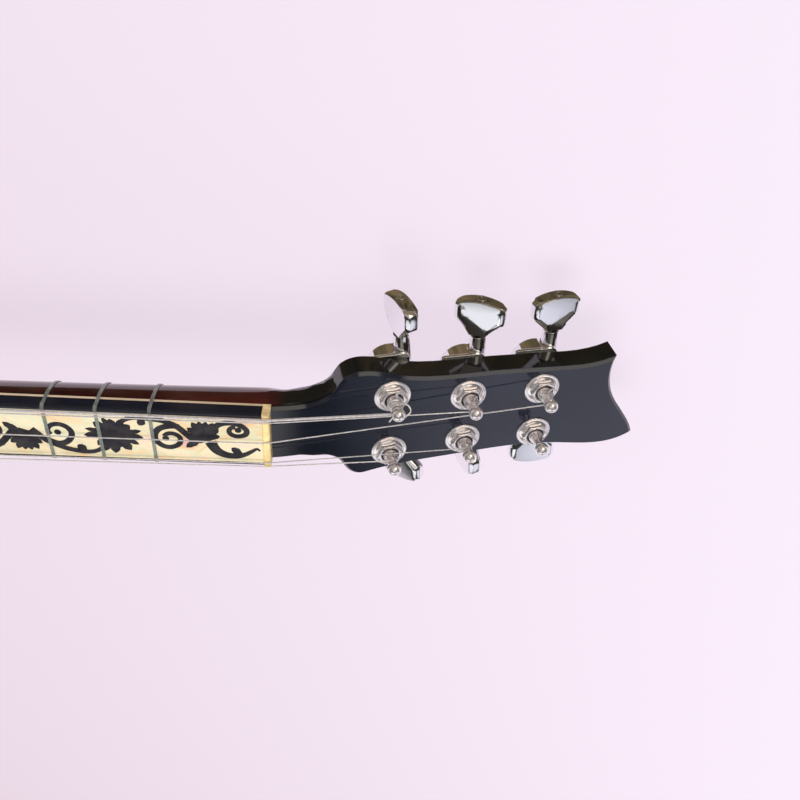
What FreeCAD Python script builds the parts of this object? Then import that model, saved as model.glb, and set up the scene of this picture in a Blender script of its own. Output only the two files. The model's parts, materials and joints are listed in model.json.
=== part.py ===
import FreeCAD, Part
from FreeCAD import Placement, Rotation, Vector
import math
import os

# Electric saz: a long-necked lute with tied frets, six machine heads, two pickups and a chambered body.
# X runs along the neck towards the headstock, +Y is the bass side and +Z points out of the soundboard.
# The origin lies on the flat underside of the body, under the bridge, on the centre line.
# All sizes are in millimetres.

# Whole instrument
scale_length = 750.0
neck_joint_x = 315.0
body_tail_x = -85.0
body_width = 236.0
body_depth = 58.0
board_thickness = 5.4
neck_binding_thickness = 1.2
string_rise_at_nut = 1.3
string_rise_at_bridge = 5.0

# Neck
nut_width = 26.5
neck_joint_width = 29.5
neck_depth_at_nut = 14.6
neck_depth_growth = 2.4
neck_depth_at_joint = 23.0
neck_squareness = 0.84
tenon_length = 62.0
tenon_depth = 21.0
tenon_width = 25.0
heel_fade_length = 40.0
neck_section_shares = (0.0, 0.03, 0.06, 0.09, 0.13, 0.18, 0.24, 0.32, 0.45, 0.62, 0.8, 1.0)
board_overhang = 22.0
board_edge_round = 0.7

# Nut
nut_thickness = 3.0
nut_rise = 0.9

# Headstock, measured from the nut along its own tilted face: s along, t across, w out of the face
head_tilt_deg = 11.42
face_drop = 3.48
head_thickness = 12.3
overlay_thickness = 1.5
head_edge_chamfer = 1.2
head_length = 160.0
head_half_width = 25.6
head_root = 3.0
upper_edge_shares = (
    (0.019, 0.512), (0.097, 0.504), (0.143, 0.574), (0.176, 0.738), (0.195, 0.922), (0.214, 1.0),
    (0.332, 0.918), (0.534, 0.848), (0.744, 0.832), (0.851, 0.867), (0.897, 0.961),
)
tip_edge_shares = (
    (0.897, 0.961), (0.893, 0.586), (0.907, 0.242), (0.948, -0.172), (0.992, -0.586), (1.0, -0.703),
)
lower_edge_shares = (
    (1.0, -0.703), (0.969, -0.816), (0.764, -0.797), (0.484, -0.844), (0.27, -1.02), (0.238, -1.043),
    (0.214, -0.949), (0.19, -0.711), (0.138, -0.547), (0.0875, -0.523), (0.019, -0.523),
)
head_fade_length = 46.0
head_fade_shares = (0.0, 0.2, 0.45, 0.75, 1.0)

# Machine heads: three a side, numbered from the nut, the upper side first
first_post = 50.62
post_pitch = 31.18
post_spread_shares = (0.5594, 0.4492, 0.4543)
tuner_leans_deg = (4.3, 1.4, 0.5, 8.0, 4.3, 3.8)
button_rest_angles_deg = (-74.0, -30.0, 9.0, -48.0, -80.0, -5.0)
worm_offset = 7.5
worm_depth = 17.6
running_clearance = 0.05
room_clearance = 0.25
gear_teeth = 14
gear_pitch_radius = 5.1
gear_addendum = 0.6
gear_dedendum = 0.75
gear_tooth_tip_half = 0.26
gear_tooth_root_half = 0.60
gear_thickness = 2.6
thread_crest_half = 0.25
thread_root_half = 0.58
worm_addendum = 0.6
worm_dedendum = 0.7
worm_half_length = 3.6
worm_sides = 12
shaft_radius = 2.5
shaft_pivot_radius = 1.2
shaft_pivot_length = 2.4
square_radius = 1.9
post_radius = 3.0
post_seat_radius = 2.2
post_waist_radius = 1.95
post_ball_radius = 2.85
post_ball_height = 11.5
post_base_height = 4.5
post_shoulder = 1.4
post_sides = 18
post_hole_radius = 0.75
post_rivet_radius = 3.2
post_rivet_thickness = 0.8
washer_radius = 7.35
washer_thickness = 1.3
washer_sides = 24
bushing_flats = 10.8
bushing_height = 2.2
sleeve_radius = 4.7
sleeve_length = 7.5
bushing_mouth_radius = 3.9
can_radius = 9.4
can_centre_offset = 2.6
can_depth = 9.6
can_sides = 30
flange_thickness = 1.3
flange_to_nut = 8.9
flange_to_tip = 9.6
flange_inward = 9.5
flange_outward = 10.4
flange_corner = 2.2
boss_length = 3.2
cover_radius = 8.3
cover_thickness = 1.0
cover_crown = 0.45
collar_end = 16.7
collar_sides = 20
collar_root_radius = 4.1
collar_tip_radius = 3.35
shaft_washer_thickness = 0.45
shaft_washer_radius = 3.3
ring_clearance = 0.01
tuner_screw_back = 6.6
tuner_screw_spread = 7.2
tuner_screw_radius = 1.2
tuner_screw_head_radius = 1.9
tuner_screw_head_height = 1.1
tuner_screw_length = 7.0

# Buttons: shares of their length and half width, from the base
button_base = 17.2
button_length = 16.6
button_half_width = 10.4
button_shares = ((0.0, 0.335), (0.055, 0.415), (0.4, 0.96), (0.77, 1.0), (0.88, 0.81))
button_thickness = 7.6
button_bevel = 1.9
button_screw_recess = 0.5

# Strings: diameter, post number, then shares of half the nut, of half the bridge and of the post's height
string_plans = (
    (1.05, 1, 0.906, 0.638, 0.748),
    (0.50, 2, 0.785, 0.531, 0.730),
    (0.55, 3, 0.015, 0.015, 0.722),
    (0.50, 5, -0.770, -0.523, 0.730),
    (0.50, 4, -0.906, -0.623, 0.739),
)
string_sides = 8
winding_clearance = 0.22
winding_turns = 3
winding_fullness = 1.12
string_slack = 0.05

# Tied frets: places in cents above the open string
tie_cents = (
    100, 150, 200, 300, 350, 400, 500, 600, 650, 700, 800, 850, 900, 1000, 1100, 1150, 1200, 1350, 1400,
)
cents_in_octave = 1200
tie_width = 2.3
tie_thickness = 0.5
tie_slack = 0.32

# Pearl panel let into the fingerboard
pearl_width_share = 0.85
pearl_thickness = 0.9
pearl_end_margin = 2.2

# Soundboard, bowl and their bindings
soundboard_thickness = 4.0
body_binding_width = 2.4
outline_arcs = 28
body_outline_shares = (
    (0.0, 0.0), (0.018, 0.28), (0.065, 0.55), (0.135, 0.79), (0.225, 0.945), (0.325, 1.0), (0.455, 0.955),
    (0.6, 0.77), (0.77, 0.475), (0.92, 0.225), (1.0, 0.125), (1.035, 0.0),
)
bowl_layer_shares = (
    (0.0, 1.0, 1.0), (0.3, 0.992, 0.977), (0.55, 0.97, 0.93), (0.76, 0.93, 0.865), (0.91, 0.872, 0.785),
    (1.0, 0.80, 0.70),
)
bowl_centre_x = 95.0
chamber_shares = (0.80, 0.69)
bowl_floor = 9.0
centre_block_half = 33.0
chamber_plans = (
    (1, 0.0825, 0.2875), (1, 0.3175, 0.5175), (1, 0.5475, 0.7475), (-1, 0.4075, 0.5875), (-1, 0.6175, 0.7475),
)
brace_thickness = 6.0
brace_height = 11.0

# Bridge and tailpiece
bridge_length = 52.0
bridge_foot_width = 9.0
bridge_top_width = 2.6
bridge_arch_height = 4.4
bridge_arch_half = 9.0
bridge_overlap_above_string = 0.25
tailpiece_x = -67.0
tailpiece_length = 16.0
tailpiece_width = 52.0
tailpiece_height = 8.0
tailpiece_chamfer = 1.4
tail_screw_radius = 1.6
tail_screw_head_radius = 3.0
tail_screw_spread = 21.0
tail_screw_length = 18.0

# Pickups
pickup_shares = (0.3425, 0.6525)
pickup_length = 62.0
pickup_width = 20.0
pickup_rise = 3.2
pickup_shell = 1.4
pickup_ear_thickness = 1.6
bobbin_depth = 9.0
bobbin_core_width = 7.0
pickup_bay_depth = 15.0
pickup_bay_clearance = 0.5
blade_length = 44.0
blade_width = 3.2
blade_rise = 0.4
pickup_screw_radius = 1.2
pickup_screw_head_radius = 2.2
pickup_screw_head_height = 1.2
pickup_screw_length = 12.0

# Controls
pot_pitch = 44.0
pot_line = 54.0
knob_radius = 9.6
knob_height = 14.0
knob_gap = 1.0
knob_bevel = 0.9
knob_skirt_height = 3.0
knob_skirt_flare = 1.2
pot_shaft_radius = 3.0
pot_bushing_radius = 4.6
pot_bushing_rise = 5.0
pot_case_radius = 8.4
pot_case_depth = 10.0
pot_nut_flats = 11.0
pot_nut_thickness = 2.4
knob_bore_depth = 9.0
cavity_middle_x = 20.0
cavity_middle_y = -50.0
cavity_length = 84.0
cavity_width = 38.0
cavity_corner = 10.0
cavity_roof = 7.0
control_cover_margin = 5.0
control_cover_thickness = 2.0
control_cover_gap = 0.2
cover_screw_radius = 1.3
cover_screw_head_radius = 2.6
cover_screw_length = 9.0

# Output jack in the lower side
jack_x = 10.0
jack_height = 30.0
jack_seat_y = -104.5
jack_bore_radius = 3.2
jack_barrel_radius = 4.8
jack_barrel_length = 22.0
jack_plate_radius = 11.0
jack_plate_thickness = 1.6
jack_nut_flats = 12.0
jack_nut_thickness = 2.4
jack_screw_spread = 8.9
jack_screw_radius = 1.0
jack_screw_head_radius = 1.7
jack_screw_head_height = 0.9
jack_screw_length = 8.0

# Strap buttons
strap_button_radius = 6.5
strap_button_waist_radius = 3.4
strap_button_length = 11.0
strap_tail_x = -81.0
strap_tail_height = 33.0
strap_side_x = 268.0
strap_side_height = 36.0
strap_side_seat_y = 31.0

screw_crown_share = 0.72
screw_head_sides = 12

half = 0.5
quarter = 0.25
X_AXIS = Vector(1, 0, 0)
Y_AXIS = Vector(0, 1, 0)
Z_AXIS = Vector(0, 0, 1)

board_top = body_depth + neck_binding_thickness + board_thickness
neck_top = body_depth
body_length = neck_joint_x - body_tail_x
overlap = nut_thickness
post_places = tuple(
    (first_post + post_pitch * row, side * share * head_half_width)
    for side in (1, -1) for row, share in enumerate(post_spread_shares)
)
pot_places = tuple((pot_pitch * k, -pot_line) for k in range(2))
cavity_centre = (cavity_middle_x, cavity_middle_y)
pickup_places = tuple(body_tail_x + body_length * share for share in pickup_shares)
tuner_screw_places = tuple((-tuner_screw_back, side * tuner_screw_spread) for side in (1, -1))
button_profile = tuple((along * button_length, across * button_half_width) for along, across in button_shares)


def save(shapes, node):
    """Writes one node: a single solid, or several equal pieces that share a name."""
    shape = shapes if isinstance(shapes, Part.Shape) else Part.makeCompound(list(shapes))
    shape.exportStep("parts/" + node + ".step")
    return shape


def joined(shapes):
    """Fuses a list of overlapping solids into one clean solid."""
    first, rest = shapes[0], list(shapes[1:])
    return (first.fuse(rest) if rest else first).removeSplitter()


def rod(radius, start, end):
    """A round rod between two points."""
    along = end - start
    return Part.makeCylinder(radius, along.Length, start, along)


def box_about(x_low, x_high, y_low, y_high, z_low, z_high):
    """A box between six limits."""
    corner = Vector(x_low, y_low, z_low)
    return Part.makeBox(x_high - x_low, y_high - y_low, z_high - z_low, corner)


def closed_curve(points):
    """A smooth closed wire through the points."""
    curve = Part.BSplineCurve()
    curve.interpolate(points, PeriodicFlag=True)
    return Part.Wire([curve.toShape()])


def open_curve(points):
    """A smooth edge through the points."""
    curve = Part.BSplineCurve()
    curve.interpolate(points)
    return curve.toShape()


def solid_from(wire, direction):
    """Pushes a closed flat wire along a direction."""
    return Part.Face(wire).extrude(direction)


def hexagon(flats, height, start):
    """A hexagonal prism standing on a point."""
    reach = flats * half / math.cos(math.pi / 6)
    angles = [k * math.pi / 3 for k in range(6)]
    ring = [start + Vector(reach * math.cos(a), reach * math.sin(a), 0) for a in angles]
    return solid_from(Part.makePolygon(ring + [ring[0]]), Z_AXIS * height)


def closed_shell(faces):
    """A solid from faces that close round it."""
    body = Part.Solid(Part.Shell(faces))
    if body.Volume < 0:
        body.reverse()
    return body


def flat_face(corners):
    """A flat face from its corners."""
    return Part.Face(Part.makePolygon(list(corners) + [corners[0]]))


def facet_drum(low_radius, high_radius, z_low, z_high, sides=24):
    """A many-sided drum about the Z axis, straight or tapering, with flat sides."""
    rings = []
    for radius, z in ((low_radius, z_low), (high_radius, z_high)):
        angles = [2 * math.pi * k / sides for k in range(sides)]
        rings.append([Vector(radius * math.cos(a), radius * math.sin(a), z) for a in angles])
    low, high = rings
    faces = [flat_face(low), flat_face(high)]
    for k in range(sides):
        after = (k + 1) % sides
        faces.append(flat_face([low[k], low[after], high[after], high[k]]))
    return closed_shell(faces)


def around(radius, sides):
    """The corner radius of a many-sided hole that clears a round rod."""
    return radius / math.cos(math.pi / sides)


def facet_rod(radius, start, end, sides=24):
    """A many-sided rod between two points, inside a round one of that radius."""
    drum = facet_drum(radius, radius, 0, (end - start).Length, sides)
    drum.Placement = Placement(start, Rotation(Z_AXIS, end - start))
    return drum


def facet_turned(profile, sides=24):
    """A stack of drums from pairs of radius and height."""
    return joined([
        facet_drum(low[0], high[0], low[1], high[1], sides)
        for low, high in zip(profile, profile[1:]) if high[1] > low[1]
    ])


def rounded_plate(x_low, x_high, y_low, y_high, corner, z_low, thickness):
    """A flat plate with four rounded corners."""
    plate = box_about(x_low, x_high, y_low, y_high, z_low, z_low + thickness)
    upright = [e for e in plate.Edges if abs(e.tangentAt(e.FirstParameter).z) > half]
    return plate.makeFillet(corner, upright)


def screw(place, direction, radius, length, head_radius, head_height):
    """A small screw: a six-sided shank and a low round head that stands out against the direction."""
    shank = screw_way(radius, Vector(0, 0, -length), length + head_height * half)
    head = facet_drum(head_radius, head_radius * screw_crown_share, 0, head_height, screw_head_sides)
    body = joined([shank, head])
    body.Placement = Placement(place, Rotation(Z_AXIS, direction))
    return body


def screw_way(radius, start, length):
    """The six-sided way of a small screw's shank, upwards from a point."""
    return hexagon(radius * math.sqrt(3), length, start)


def screw_hole(radius, start, direction, length):
    """A screw's way that runs from a point along a direction."""
    way = screw_way(radius, Vector(0, 0, 0), length)
    way.Placement = Placement(start, Rotation(Z_AXIS, direction))
    return way


def upright_drum(radius, x, y, z_low, z_high, sides=24):
    """A many-sided upright drum at a place."""
    drum = facet_drum(radius, radius, z_low, z_high, sides)
    drum.translate(Vector(x, y, 0))
    return drum


def neck_width_at(x):
    """The neck's full width at a place along it."""
    share = (x - neck_joint_x) / (scale_length - neck_joint_x)
    return neck_joint_width + (nut_width - neck_joint_width) * share


def neck_depth_at(x):
    """How deep the neck is below the board at a place along it."""
    share = (x - neck_joint_x) / (scale_length - neck_joint_x)
    fade = math.exp(-(x - neck_joint_x) / heel_fade_length)
    straight = neck_depth_at_nut + (1 - share) * neck_depth_growth
    return straight + (neck_depth_at_joint - straight) * fade


# Placement of the tilted headstock: its own axes s, t and w become the row's
head_place = Placement(
    Vector(scale_length, 0, board_top - face_drop), Rotation(Y_AXIS, head_tilt_deg)
)


def on_head(s, t, w):
    """A point given on the headstock's own axes."""
    return head_place.multVec(Vector(s, t, w))


def rounded_back(x, half_width, depth, top):
    """One upright section of the neck: a flat top and a full, rounded back."""
    steps = 8
    angles = [math.pi * k / steps for k in range(steps + 1)]
    arc = [
        Vector(x, half_width * math.cos(a), top - depth * abs(math.sin(a)) ** neck_squareness) for a in angles
    ]
    return Part.Wire([open_curve(arc), Part.makeLine(arc[-1], arc[0])])


def neck_shaft():
    """The tapering neck behind the fingerboard, from the body to the nut."""
    places = [neck_joint_x + (scale_length - neck_joint_x) * share for share in neck_section_shares]
    places.append(scale_length + nut_thickness)
    sections = [rounded_back(x, neck_width_at(x) * half, neck_depth_at(x), neck_top) for x in places]
    return Part.makeLoft(sections, True, True)


def head_fade():
    """The rounded back of the neck running out under the headstock."""
    sections = []
    for share in head_fade_shares:
        x = scale_length + nut_thickness + head_fade_length * share - overlap * (share == 0)
        depth = neck_depth_at_nut * (1 - 0.62 * share ** 1.4)
        drop = (x - scale_length) * math.tan(math.radians(head_tilt_deg))
        half_width = nut_width * half * (1 - 0.06 * share)
        top = neck_top - drop * 1.06 - share * head_edge_chamfer
        sections.append(rounded_back(x, half_width, depth, top))
    return Part.makeLoft(sections, True)


def head_edge(shares):
    """The corners of one side of the headstock, from shares of its length and half width."""
    return [Vector(s * head_length, t * head_half_width, 0) for s, t in shares]


def head_plate():
    """The whole headstock plate on its own axes, with eased edges."""
    upper, tip, lower = head_edge(upper_edge_shares), head_edge(tip_edge_shares), head_edge(lower_edge_shares)
    sides = [open_curve(upper), open_curve(tip), open_curve(lower), Part.makeLine(lower[-1], upper[0])]
    plate = solid_from(Part.Wire(sides), Z_AXIS * -head_thickness)
    rims = []
    for edge in plate.Edges:
        middle = edge.valueAt((edge.FirstParameter + edge.LastParameter) * half)
        level = edge.BoundBox.ZLength < running_clearance
        if level and middle.x > head_root + overlap * half:
            rims.append(edge)
    return plate.makeChamfer(head_edge_chamfer, rims)


def tuner_place(number):
    """Where the machine head of that number stands on the headstock."""
    s, t = post_places[number]
    turn = Rotation(Z_AXIS, tuner_leans_deg[number])
    return head_place.multiply(Placement(Vector(s, t, 0), turn))


def placed(shape, number):
    """Copies a machine head piece to its place, mirrored across for the lower side."""
    side = shape.mirror(Vector(0, 0, 0), Y_AXIS) if post_places[number][1] < 0 else shape.copy()
    side.Placement = tuner_place(number).multiply(side.Placement)
    return side


head_back = -head_thickness
can_bottom = head_back - can_depth
cover_seat = can_bottom + cover_thickness
worm_pitch_radius = worm_offset - gear_pitch_radius
lead = 2 * math.pi * gear_pitch_radius / gear_teeth
worm_core_radius = worm_pitch_radius - worm_dedendum
worm_crest_radius = worm_pitch_radius + worm_addendum
gear_top = -worm_depth + gear_thickness * half
gear_bottom = -worm_depth - gear_thickness * half
worm_axis = Vector(worm_offset, 0, -worm_depth)


def faceted(rows):
    """A solid of flat triangles between rows of points, closed by its first and last rows."""
    faces = []
    for row, following in zip(rows, rows[1:]):
        for k, corner in enumerate(row):
            after = (k + 1) % len(row)
            faces.append(flat_face([corner, row[after], following[after]]))
            faces.append(flat_face([corner, following[after], following[k]]))
    return closed_shell(faces + [flat_face(rows[0]), flat_face(rows[-1])])


def post_seat(margin):
    """The square seat of the wheel on its post, drawn out by a margin up and down."""
    reach = post_seat_radius / math.sqrt(2)
    return box_about(-reach, reach, -reach, reach, gear_bottom - margin, gear_top + margin)


def gear_blank():
    """The wheel on the post: straight-sided teeth, twisted to follow the worm's thread."""
    root_radius = gear_pitch_radius - gear_dedendum
    tip_radius = gear_pitch_radius + gear_addendum
    lead_slope = lead / (2 * math.pi * worm_pitch_radius)
    twist = gear_thickness * half * lead_slope / gear_pitch_radius

    def outline(z, turn):
        ring = []
        for tooth in range(gear_teeth):
            middle = 2 * math.pi * tooth / gear_teeth + turn
            for radius, across in (
                (root_radius, -gear_tooth_root_half), (tip_radius, -gear_tooth_tip_half),
                (tip_radius, gear_tooth_tip_half), (root_radius, gear_tooth_root_half),
            ):
                angle = middle + math.asin(across / radius)
                ring.append(Vector(radius * math.cos(angle), radius * math.sin(angle), z))
        return ring

    wheel = faceted([outline(gear_bottom, -twist), outline(gear_top, twist)])
    return wheel.cut(post_seat(overlap))


def worm_thread():
    """The thread as a chain of flat-sided segments winding round the shaft."""
    sunk_radius = worm_core_radius * 0.8
    sunk_half = thread_root_half * 1.12
    root, crest = (worm_core_radius, thread_root_half), (worm_crest_radius, thread_crest_half)
    flank = [(sunk_radius, sunk_half), root, crest]
    section = [(radius, -along) for radius, along in flank] + flank[::-1]
    turns_half = (worm_half_length - sunk_half) / lead
    steps = int(turns_half * worm_sides) * 2
    rows = []
    for step in range(-steps // 2, steps // 2 + 1):
        angle = 2 * math.pi * step / worm_sides
        row = []
        for radius, along in section:
            y = lead * step / worm_sides + along
            row.append(worm_axis + Vector(radius * math.cos(angle), y, -radius * math.sin(angle)))
        rows.append(row)
    return faceted(rows)


def worm_shaft():
    """The worm with its pivot, its journal in the collar and its end in the button."""
    def at(y):
        return worm_axis + Y_AXIS * y

    tip = button_base + button_length - button_screw_recess
    ends = [[], []]
    for row, y in zip(ends, (-worm_half_length, worm_half_length)):
        for k in range(worm_sides):
            angle = 2 * math.pi * k / worm_sides
            row.append(at(y) + Vector(math.cos(angle), 0, -math.sin(angle)) * worm_core_radius)
    pivot_start = at(-worm_half_length - shaft_pivot_length)
    core = joined([
        faceted(ends),
        facet_rod(shaft_pivot_radius, pivot_start, at(-worm_half_length), worm_sides),
        rod(shaft_radius, at(worm_half_length), at(button_base)),
        facet_rod(square_radius, at(button_base), at(tip), worm_sides),
    ])
    shaft = core.fuse(worm_thread())
    slot = box_about(
        worm_offset - square_radius, worm_offset + square_radius, tip - button_screw_recess, tip + overlap,
        -worm_depth - square_radius * 0.18, -worm_depth + square_radius * 0.18,
    )
    return shaft.cut(slot)


def button(angle_deg):
    """The keystone button with bevelled sides and a curved end."""
    corners = [Vector(worm_offset - across, button_base + along, 0) for along, across in button_profile]
    tip = Vector(worm_offset, button_base + button_length, 0)
    right = [Vector(2 * worm_offset - p.x, p.y, 0) for p in reversed(corners)]
    arc = Part.Arc(corners[-1], tip, right[0]).toShape()
    sides = [Part.makeLine(a, b) for a, b in zip(corners, corners[1:])]
    sides += [arc]
    sides += [Part.makeLine(a, b) for a, b in zip(right, right[1:])]
    sides += [Part.makeLine(right[-1], corners[0])]
    body = solid_from(Part.Wire(sides), Z_AXIS * button_thickness)
    body.translate(Vector(0, 0, -worm_depth - button_thickness * half))
    flanks = []
    for edge in body.Edges:
        middle = edge.valueAt((edge.FirstParameter + edge.LastParameter) * half)
        level = edge.BoundBox.ZLength < running_clearance
        aside = abs(middle.x - worm_offset) > button_profile[1][1]
        if level and aside and middle.y < button_base + button_profile[-2][0]:
            flanks.append(edge)
    body = body.makeChamfer(button_bevel, flanks)
    start = worm_axis + Y_AXIS * (button_base - overlap)
    end = worm_axis + Y_AXIS * (button_base + button_length + overlap)
    body.rotate(worm_axis, Y_AXIS, angle_deg)
    return body.cut(facet_rod(square_radius, start, end, worm_sides))


def string_post():
    """The turning post: gear seat, journal, waist and ball."""
    rivet_low = gear_bottom - post_rivet_thickness
    waist_low = post_base_height + post_shoulder
    ball_angle = math.asin(post_waist_radius / post_ball_radius)
    ball_steps = 6
    profile = [
        (post_radius, post_base_height - post_shoulder * half),
        (post_waist_radius * 1.22, post_base_height + post_shoulder * quarter),
        (post_waist_radius, waist_low),
    ]
    for k in range(ball_steps):
        angle = ball_angle + (math.pi - ball_angle) * k / ball_steps
        reach, rise = post_ball_radius * math.sin(angle), -post_ball_radius * math.cos(angle)
        profile.append((reach, post_ball_height + rise))
    journal = rod(post_radius, Vector(0, 0, gear_top), Vector(0, 0, profile[0][1]))
    rivet = facet_drum(post_rivet_radius, post_rivet_radius, rivet_low, gear_bottom, post_sides)
    hole_height = waist_low + post_hole_radius * 1.3
    hole_start = Vector(-post_radius * 2, 0, hole_height)
    hole = screw_hole(post_hole_radius, hole_start, X_AXIS, post_radius * 4)
    seat = post_seat(post_rivet_thickness * half)
    return joined([facet_turned(profile, post_sides), journal, seat, rivet]).cut(hole)


def tuner_bushing():
    """The hexagon-headed bushing that clamps the machine head from the front."""
    low, high = washer_thickness - sleeve_length, washer_thickness + bushing_height
    head = hexagon(bushing_flats, bushing_height, Vector(0, 0, washer_thickness))
    sleeve = facet_drum(sleeve_radius, sleeve_radius, low, washer_thickness)
    bore = rod(post_radius + running_clearance, Vector(0, 0, low - overlap), Vector(0, 0, high + overlap))
    mouth_depth = bushing_mouth_radius - post_radius
    mouth = facet_drum(post_radius, bushing_mouth_radius, high - mouth_depth, high)
    return joined([head, sleeve]).cut([bore, mouth])


def tuner_washer():
    """The dished flange washer on the face."""
    edge = washer_thickness * 0.4
    rim = ((washer_radius, 0), (washer_radius, edge), (washer_radius * 0.82, washer_thickness))
    body = facet_turned(rim, washer_sides)
    return body.cut(facet_drum(sleeve_radius, sleeve_radius, -overlap, overlap))


def tuner_housing():
    """The cast case: flange, round can, boss in the wood and tapered collar round the shaft."""
    can = upright_drum(can_radius, can_centre_offset, 0, can_bottom, head_back, can_sides)
    flange = rounded_plate(
        -flange_to_nut, flange_to_tip, -flange_inward, flange_outward, flange_corner,
        head_back - flange_thickness, flange_thickness,
    )
    boss_top = head_back + boss_length
    boss = facet_drum(sleeve_radius, sleeve_radius, head_back - overlap * half, boss_top)
    collar_start = worm_half_length + overlap * half
    collar = facet_drum(collar_root_radius, collar_tip_radius, 0, collar_end - collar_start, collar_sides)
    collar.Placement = Placement(worm_axis + Y_AXIS * collar_start, Rotation(Z_AXIS, Y_AXIS))
    body = joined([can, flange, boss, collar])
    gear_room = gear_pitch_radius + gear_addendum + room_clearance * 1.4
    room_top = gear_top + room_clearance
    worm_room = worm_crest_radius + room_clearance * half
    room_half = worm_half_length + room_clearance * half
    pivot_end = worm_axis - Y_AXIS * (worm_half_length + shaft_pivot_length + room_clearance)
    pivot_way = around(shaft_pivot_radius + running_clearance, worm_sides)
    cuts = [
        facet_drum(gear_room, gear_room, cover_seat, room_top),
        box_about(
            worm_offset - worm_room, worm_offset + worm_room, -room_half, room_half,
            cover_seat - overlap * half, -worm_depth + worm_room,
        ),
        rod(post_radius + running_clearance, Vector(0, 0, cover_seat), Vector(0, 0, boss_top + overlap)),
        rod(shaft_radius + running_clearance, worm_axis, worm_axis + Y_AXIS * (collar_end + overlap)),
        facet_rod(pivot_way, pivot_end, worm_axis, worm_sides),
        upright_drum(cover_radius, can_centre_offset, 0, can_bottom, cover_seat),
    ]
    for x, y in tuner_screw_places:
        cuts.append(screw_way(tuner_screw_radius, Vector(x, y, can_bottom), can_depth + overlap))
    return body.cut(cuts)


def tuner_cover():
    """The round back plate of one machine head."""
    inner_radius = cover_radius - cover_crown
    rim = ((inner_radius, can_bottom - cover_crown), (cover_radius, can_bottom), (cover_radius, cover_seat))
    plate = facet_turned(rim)
    plate.translate(X_AXIS * can_centre_offset)
    return plate


def shaft_washer():
    """The thin dark ring between the collar and the button."""
    start = worm_axis + Y_AXIS * (collar_end + ring_clearance)
    ring = facet_drum(shaft_washer_radius, shaft_washer_radius, 0, shaft_washer_thickness)
    ring.Placement = Placement(start, Rotation(Z_AXIS, Y_AXIS))
    way_radius = around(shaft_radius + running_clearance, post_sides)
    hole = facet_rod(way_radius, start - Y_AXIS * overlap, start + Y_AXIS * overlap, post_sides)
    return ring.cut(hole)


def string_points(plan):
    """The corners of one string: tail anchor, bridge, nut and the side of its post."""
    diameter, post = plan[:2]
    at_nut, at_bridge = plan[2] * nut_width * half, plan[3] * bridge_length * half
    height = plan[4] * post_ball_height
    radius = diameter * half
    s, t = post_places[post - 1]
    inner = post_waist_radius + winding_clearance + radius * winding_fullness
    side = 1 if t > 0 else -1
    touch = on_head(s, t - side * inner, height)
    nut_point = Vector(scale_length + nut_thickness * 0.4, at_nut, board_top + string_rise_at_nut + radius)
    bridge_point = Vector(0, at_bridge, board_top + string_rise_at_bridge + radius)
    anchor_height = neck_top + tailpiece_height * 0.62
    anchor = Vector(tailpiece_x + tailpiece_length * half, at_bridge * 0.96, anchor_height)
    return [anchor, bridge_point, nut_point, touch]


def instrument_string(plan):
    """One string with its turns round the post."""
    radius = plan[0] * half
    s, t = post_places[plan[1] - 1]
    points = string_points(plan)
    pieces = [facet_rod(radius, a, b, string_sides) for a, b in zip(points, points[1:])]
    inner = post_waist_radius + winding_clearance
    outer = inner + 2 * radius * winding_fullness
    low, high = -2 * radius * (winding_turns - half), radius * winding_fullness
    turns = facet_drum(outer, outer, low, high).cut(facet_drum(inner, inner, low - overlap, high + overlap))
    turns.Placement = head_place.multiply(Placement(Vector(s, t, plan[4] * post_ball_height), Rotation()))
    return joined(pieces + [turns])


def notched(shape, plan, corner, reach):
    """Cuts the notch of one string where it bends over a bridge or nut, open to the top."""
    points = string_points(plan)
    clear = plan[0] * half + string_slack
    middle = points[corner]
    for other in (points[corner - 1], points[corner + 1]):
        along = (other - middle).normalize()
        across = along.cross(Z_AXIS).normalize() * clear
        start, end = middle - along * clear - across, middle + along * reach - across
        low, high = Z_AXIS * -clear, Z_AXIS * reach
        wall = Part.makePolygon([start + low, end + low, end + high, start + high, start + low])
        shape = shape.cut(solid_from(wall, across * 2))
    return shape


def fret_tie(x):
    """One tied band round the neck and the fingerboard."""
    outer = tie_section(x, tie_slack + tie_thickness)
    inner = tie_section(x, tie_slack)
    return solid_from(outer, X_AXIS * tie_width).cut(solid_from(inner, X_AXIS * tie_width))


def tie_section(x, gap):
    """The neck's whole outline at a place in short straight steps, grown outwards by a gap."""
    half_width = neck_width_at(x) * half + gap
    depth = neck_depth_at(x) + gap
    top = board_top + gap - tie_slack
    steps = 12
    ring = []
    for k in range(steps + 1):
        angle = math.pi * k / steps
        drop = depth * abs(math.sin(angle)) ** neck_squareness
        ring.append(Vector(x - tie_width * half, half_width * math.cos(angle), neck_top - drop))
    shoulder = half_width - board_edge_round
    ring.append(Vector(ring[0].x, -half_width, top - board_edge_round))
    ring.append(Vector(ring[0].x, -shoulder, top))
    ring.append(Vector(ring[0].x, shoulder, top))
    ring.append(Vector(ring[0].x, half_width, top - board_edge_round))
    return Part.makePolygon(ring + [ring[0]])


def tie_x(cents):
    """Where a tie stands for an interval above the open string."""
    return scale_length * 2.0 ** (-cents / cents_in_octave)


def board_prism(x_low, x_high, half_low, half_high, z_low, z_high):
    """A long tapering slab whose half widths differ at its two ends."""
    ring = [
        Vector(x_low, -half_low, z_low), Vector(x_high, -half_high, z_low), Vector(x_high, half_high, z_low),
        Vector(x_low, half_low, z_low),
    ]
    return solid_from(Part.makePolygon(ring + [ring[0]]), Z_AXIS * (z_high - z_low))


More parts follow.
